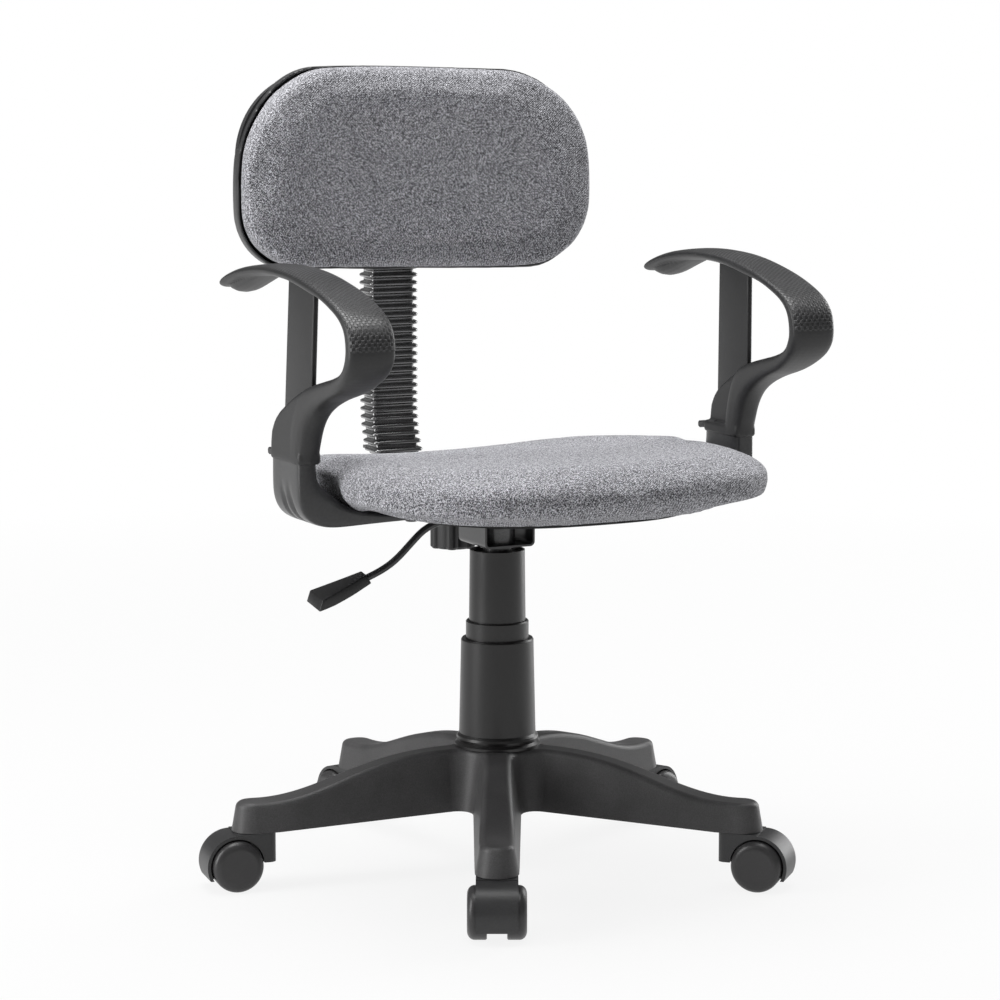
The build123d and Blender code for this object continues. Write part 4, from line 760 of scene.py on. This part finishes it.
# the swelling under the pad's tail: y, top z, lowest z, half width
CORE = [
    (95, 584, 579, 6), (87, 587, 576.4, 11.5), (72, 590, 575, 14),
    (52, 595, 579.2, 14.2), (28, 598, 587.5, 13.6), (6, 600, 595, 12)
]
# The loop's middle plane stands a little off the sleeve's, leans inwards as it rises and is
# turned in towards its front.
OFFSET, LEAN, TURN_IN = 0.5, 3.2, 0.0147
LEAN_LOW, LEAN_RUN, TURN_Y = 430, 160, -47
TWELFTHS = [math.radians(30 * step) for step in range(12)]


def arm_place(side, across, y, z):
    """The place in metres of a point in mm, across from the loop's middle plane."""
    rise = min(max((z - LEAN_LOW) / LEAN_RUN, 0), 1)
    inwards = LEAN * rise * rise * (3 - 2 * rise)
    middle = arm_x * 1000 + OFFSET - inwards - TURN_IN * (TURN_Y - y)
    return (side * (middle + across) * mm, y * mm, z * mm)


def band_ring(side, station):
    """One cross-section of the arm's band."""
    y0, z0, y1, z1, half, square = station
    ring = []
    for (lip_x, lip_d), (square_x, square_d) in zip(LIPPED, SQUARE):
        across = half * (lip_x + (square_x - lip_x) * square)
        depth = lip_d + (square_d - lip_d) * square
        ring.append(arm_place(side, across, y0 + (y1 - y0) * depth, z0 + (z1 - z0) * depth))
    return ring


def core_ring(side, station):
    """One cross-section of the swelling under the tail."""
    y, top, bottom, half = station
    middle, tall = (top + bottom) / 2, (top - bottom) / 2
    ring = []
    for turn in TWELFTHS:
        ring.append(arm_place(side, half * math.cos(turn), y, middle + tall * math.sin(turn)))
    return ring


def lean(piece, side):
    """Sets a plate drawn about x = 0 on the loop's leaning middle plane."""
    for vertex in piece.data.vertices:
        across, y, z = vertex.co
        vertex.co = arm_place(side, side * across / mm, y / mm, z / mm)


fine_band = drawn(BAND, steps=3)
middle_line = (fine_band[:, 0:2] + fine_band[:, 2:4]) / 2 * mm
runs = np.linalg.norm(np.diff(fine_band[:, 0:2], axis=0), axis=1)
run_length = np.concatenate([[0], np.cumsum(runs)]) * mm
along = np.gradient(middle_line, axis=0)
along /= np.linalg.norm(along, axis=1, keepdims=True)
POST_HALF = 0.0028  # half the post's thickness
SLEEVE_HALF = 0.0112  # the sleeve, from its middle plane outwards
PANEL_INNER = 0.0045  # and its rear panel inwards
SHRINK = 0.0006  # what the smoothing takes off, given back
for side, hand in ((1, "left"), (-1, "right")):
    band = chain("arm_band_" + hand, [band_ring(side, station) for station in fine_band])
    core = chain("arm_core_" + hand, [core_ring(side, station) for station in drawn(CORE, steps=3)])
    post = plate("arm_post_" + hand, POST, -POST_HALF, POST_HALF, edge=0.002, steps=4)
    ends = (-PANEL_INNER, SLEEVE_HALF) if side > 0 else (-SLEEVE_HALF, PANEL_INNER)
    panel = plate("arm_panel_" + hand, PANEL, *ends, edge=0.003, steps=3)
    collar = plate("arm_collar_" + hand, COLLAR, -SLEEVE_HALF, SLEEVE_HALF, edge=0.0025, steps=3)
    for part in (post, panel, collar):
        lean(part, side)
    arm = joined([band, core, panel, collar], "arm_" + hand + "_moulding")
    use(arm, "REMESH", mode="VOXEL", voxel_size=0.0012)
    # the sleeve and the neck's foot are smoothed fully, all above them by a quarter
    points = points_of(arm.data)
    soft = arm.vertex_groups.new(name="blended")
    for index, weight in enumerate(1 - ramp(points[:, 2], 0.492, 0.512)):
        soft.add([index], 0.25 + 0.75 * float(weight), "REPLACE")
    use(arm, "SMOOTH", factor=0.5, iterations=9, vertex_group="blended")
    facing = np.zeros(len(arm.data.vertices) * 3)
    arm.data.vertices.foreach_get("normal", facing)
    facing = facing.reshape(-1, 3)
    points = points_of(arm.data) + facing * SHRINK
    set_points(arm.data, points)
    # the chequer's lay on the pad: across, along the band, and how far it is marked
    gap = np.linalg.norm(points[:, None, 1:3] - middle_line[None], axis=2)
    nearest = gap.argmin(axis=1)
    away = points[:, 1:3] - middle_line[nearest]
    outer_face = ramp((away * facing[:, 1:3]).sum(axis=1), 0.0, 0.0015)
    outer_face *= 1 - ramp(np.abs(facing[:, 0]), 0.55, 0.8)
    grip = outer_face * ramp(-points[:, 1], 0.02, 0.075) * ramp(points[:, 2], 0.5425, 0.5435)
    ahead = (away * along[nearest]).sum(axis=1)
    lay = np.column_stack([points[:, 0], run_length[nearest] + ahead, grip])
    mark = arm.data.attributes.new("pad_lay", "FLOAT_VECTOR", "POINT")
    mark.data.foreach_set("vector", lay.ravel())
    bpy.ops.object.shade_smooth()
    pick(post)
    bpy.ops.object.shade_smooth_by_angle(angle=SHARP)
    arm = joined([arm, post], arm.name)
    arm.data.materials.append(pad_plastic)
    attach(arm, "arm_" + hand)
    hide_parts("arm_loop_" + hand)

# ---------------------------------------------------------------- arm brackets and latches
# Cast L brackets: the foot is bolted under the seat, tapers to its end and swells into the
# bend, whose outer side has two flutes. A steel tongue stands in the upright. The latch tab
# has a thumb lip and slides into the back of the sleeve.
cast_black = painted_steel("cast_black", tone=(0.02, 0.02, 0.021), rough=0.36)
# along the bracket, from the foot's end to the sleeve: outer point (x, z), inner point
# (x, z), front y and rear y
BEND = [
    (110, 366, 110, 371.6, -62, -31), (112, 365.6, 112, 371.9, -66, -27),
    (120, 365.4, 120, 372, -70, -23), (150, 365.2, 149, 372.8, -73.5, -19.5),
    (180, 364.6, 177, 378, -77, -15.5), (200, 364, 194.5, 384.5, -79, -13.5),
    (215, 364.8, 203.5, 391, -79.4, -13), (228, 368.8, 212, 398.5, -79.5, -12.8),
    (238, 377, 219, 404.5, -79.5, -12.8), (243, 389.5, 223.5, 410, -79.4, -13),
    (244, 404, 224.8, 417, -79.2, -13.2), (244, 420, 225, 424, -79, -13.4),
    (244, 428.6, 225, 428.6, -79, -13.4), (244, 429, 225, 429, -79, -13.4)
]
# round it: share of its half breadth, share of the way from the outer to the inner side
ROUND = [
    (-1.0, 0.5), (-1.0, 0.2), (-0.975, 0.05), (-0.9, 0.0), (-0.6, 0.0), (-0.4, 0.0),
    (-0.2, 0.0), (0, 0.0), (0.2, 0.0), (0.4, 0.0), (0.6, 0.0), (0.9, 0.0),
    (0.975, 0.05), (1.0, 0.2), (1.0, 0.5), (1.0, 0.85), (0.95, 0.98), (0.6, 1.0),
    (0.3, 1.0), (0, 1.0), (-0.3, 1.0), (-0.6, 1.0), (-0.95, 0.98), (-1.0, 0.85)
]
# side outlines (y, z) of the tongue and of the latch tab with its lip
TONGUE = [(-72, 408), (-40, 408), (-40, 505), (-72, 505)]
LATCH = [
    (-34, 428.2), (-11, 428.2), (-5, 427.2), (-2, 428.4), (-1.6, 432.2),
    (-3.2, 434.2), (-6, 434), (-15, 434.8), (-24, 437.6), (-34, 437.6)
]
TONGUE_HALF, LATCH_HALF = 0.0015, 0.0095
FLUTES = (-0.057, -0.041)  # where the flutes cross the height FLUTE_Z
FLUTE_Z, FLUTE_SLOPE, FLUTE_HALF, FLUTE_DEPTH = 0.38, 0.10, 0.0042, 0.0024


def bend_ring(side, station):
    """One cross-section of the bracket."""
    x0, z0, x1, z1, front, rear = station
    middle, half = (front + rear) / 2, (rear - front) / 2
    ring = []
    for across, depth in ROUND:
        x, z = x0 + (x1 - x0) * depth, z0 + (z1 - z0) * depth
        ring.append((side * x * mm, (middle + half * across) * mm, z * mm))
    return ring


for side, hand in ((1, "left"), (-1, "right")):
    bracket = chain("bracket_" + hand, [bend_ring(side, station) for station in drawn(BEND, steps=2)])
    use(bracket, "SUBSURF", levels=1, render_levels=1)
    points = points_of(bracket.data)
    x, y, z = points.T
    outer_side = ramp(side * x, 0.212, 0.232) * (1 - ramp(z, 0.386, 0.41))
    for flute in FLUTES:
        line = flute + FLUTE_SLOPE * (z - FLUTE_Z)
        cut = outer_side * np.clip(1 - ((y - line) / FLUTE_HALF) ** 2, 0, 1) * FLUTE_DEPTH
        # inwards and a little upwards
        x -= side * cut * 0.8
        z += cut * 0.6
    set_points(bracket.data, points)
    bpy.ops.object.shade_smooth()
    middle = side * arm_x
    tongue = plate(
        "tongue_" + hand, TONGUE, middle - TONGUE_HALF, middle + TONGUE_HALF, edge=0.0004, steps=2
    )
    bpy.ops.object.shade_smooth_by_angle(angle=SHARP)
    bracket = joined([bracket, tongue], "arm_bracket_" + hand + "_cast")
    bracket.data.materials.append(cast_black)
    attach(bracket, "seat")
    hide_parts("arm_bracket_" + hand)
    latch = plate(
        "latch_tab_" + hand, LATCH, middle - LATCH_HALF, middle + LATCH_HALF, edge=0.0009, steps=3
    )
    bpy.ops.object.shade_smooth_by_angle(angle=SHARP)
    latch.data.materials.append(arm_plastic)
    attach(latch, "latch_" + hand)
    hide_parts("arm_latch_" + hand)

# ---------------------------------------------------------------- release lever
# Bent steel rod pinned in the box, its inner end over the release button, with a moulded
# paddle pushed on its outer end. The paddle widens to a bevelled end and is rolled a little.
# the rod's line (x, z) and radius are in mm, its pin's place and radius in metres
PIN_RADIUS, PIN_X, PIN_Z = 0.002, -0.02, 0.3521
ROD_RADIUS = 3.5
ROD_LINE = [
    (4, 352.1), (-20, 352.1), (-44, 352), (-58, 350.8), (-70, 347.5), (-80, 342.5),
    (-88, 336), (-97, 327.5), (-106, 319.2), (-116, 311.8), (-127, 306), (-138, 301.5),
    (-150, 297)
]
rod_path = drawn(ROD_LINE, steps=2)
rod_rings = []
for (x, z), (ahead_x, ahead_z) in zip(rod_path, np.gradient(rod_path, axis=0)):
    run = math.hypot(ahead_x, ahead_z)
    ring = []
    for turn in TWELFTHS:
        rise = ROD_RADIUS * math.sin(turn) / run
        y = ROD_RADIUS * math.cos(turn)
        ring.append(((x - ahead_z * rise) * mm, y * mm, (z + ahead_x * rise) * mm))
    rod_rings.append(ring)
rod = chain("lever_rod_bent", rod_rings)
pin_rings = []
for y in (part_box("lever_rod")[0].y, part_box("lever_rod")[1].y):
    pin_rings.append([
        (PIN_X + PIN_RADIUS * math.cos(turn), y, PIN_Z + PIN_RADIUS * math.sin(turn))
        for turn in TWELFTHS
    ])
rod = joined([rod, chain("lever_pin", pin_rings)], rod.name)
bpy.ops.object.shade_smooth_by_angle(angle=CREASE)
rod.data.materials.append(black_coat)
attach(rod, "lever")
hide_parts("lever_rod")
# the paddle, from its socket to its end: top (x, z), bottom (x, z) and half width
PADDLE = [
    (-143.4, 305.8, -138, 297, 6.3), (-154, 301.8, -148.5, 292.6, 8.4),
    (-165.4, 297.6, -159.9, 287.9, 10.6), (-181, 291.9, -180, 280.8, 13.8),
    (-193.3, 287.6, -197, 276.7, 16)
]
PADDLE_ROLL = 0.17  # rise of an edge per half width
paddle_rings = []
for x0, z0, x1, z1, half in drawn(PADDLE, steps=2):
    roll = PADDLE_ROLL * half
    paddle_rings.append([
        (x0 * mm, half * mm, (z0 + roll) * mm), (x1 * mm, half * mm, (z1 + roll) * mm),
        (x1 * mm, -half * mm, (z1 - roll) * mm), (x0 * mm, -half * mm, (z0 - roll) * mm)
    ])
paddle = chain("lever_paddle", paddle_rings)
bevel(paddle, width=0.0011, segments=3)
bpy.ops.object.shade_smooth_by_angle(angle=SHARP)
paddle.data.materials.append(knob_plastic)
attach(paddle, "lever")
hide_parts("lever_handle")

# ---------------------------------------------------------------- bellows
# Blow-moulded glossy bellows over the upright bar: rod-like pleats with deep folds between.
# It is pushed over the bar's collar below, where it follows the bend forwards, and into the
# housing above.
bellows_gloss = moulded(
    "bellows_gloss", tone=(0.03, 0.03, 0.031), rough=0.24, grain=0.004, depth=0.00003, clouds=0.06
)
shader = bellows_gloss.node_tree.nodes["Principled BSDF"]
shader.inputs["Coat Weight"].default_value = 1.0
shader.inputs["Coat Roughness"].default_value = 0.14
shader.inputs["Coat IOR"].default_value = 2.0
BELLOWS_HALF_W, BELLOWS_HALF_D, BELLOWS_CORNER = 0.0275, 0.0168, 0.006
SKIRT = 0.006  # how far the lowest pleat reaches down over the collar
PLEATS = 24
FOLD = 0.0036  # depth of a fold
BEND_TOP, BEND_RUN, BEND_PUSH = 0.436, 0.044, 0.010  # height, length and push of the bar's bend
low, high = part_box("bellows")
low.z -= SKIRT
centre_y = (low.y + high.y) / 2
pitch = (high.z - low.z) / PLEATS


def bellows_ring(inset, height):
    """A rounded rectangle round the bar, drawn in by an inset, at a share of a pleat's height."""
    ring = []
    corner = BELLOWS_CORNER - inset * 0.4
    for sx, sy, first in ((1, 1, 0), (-1, 1, 90), (-1, -1, 180), (1, -1, 270)):
        for step in range(5):
            turn = math.radians(first + 22.5 * step)
            ring.append((
                sx * (BELLOWS_HALF_W - inset - corner) + corner * math.cos(turn),
                centre_y + sy * (BELLOWS_HALF_D - inset - corner) + corner * math.sin(turn),
                low.z + height * pitch
            ))
    return ring


# one pleat from fold to fold: share of the fold's depth, share of the pleat's height
PLEAT = [
    (1, 0.0), (1, 0.2), (0.75, 0.24), (0.3, 0.28), (0.06, 0.35), (0, 0.45),
    (0, 0.55), (0.1, 0.65), (0.32, 0.73), (0.66, 0.8), (1, 0.85), (1, 1.0)
]
bellows = chain("bellows_pleats", [bellows_ring(FOLD * inset, height) for inset, height in PLEAT])
# its two end faces, the only ones with more than four corners, are opened
bpy.ops.object.mode_set(mode="EDIT")
bpy.ops.mesh.select_all(action="DESELECT")
bpy.ops.object.mode_set(mode="OBJECT")
for face in bellows.data.polygons:
    face.select = len(face.vertices) > 4
bpy.ops.object.mode_set(mode="EDIT")
bpy.ops.mesh.delete(type="FACE")
bpy.ops.object.mode_set(mode="OBJECT")
use(
    bellows, "ARRAY", count=PLEATS, use_relative_offset=False, use_constant_offset=True,
    constant_offset_displace=(0, 0, pitch), use_merge_vertices=True, merge_threshold=0.00005
)
for vertex in bellows.data.vertices:
    drop = max(0, (BEND_TOP - vertex.co.z) / BEND_RUN)
    vertex.co.y -= BEND_PUSH * drop ** 2
use(bellows, "SOLIDIFY", thickness=0.001, offset=-1)
bpy.ops.object.shade_smooth_by_angle(angle=math.radians(75))
bellows.data.materials.append(bellows_gloss)
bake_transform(bellows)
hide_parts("bellows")
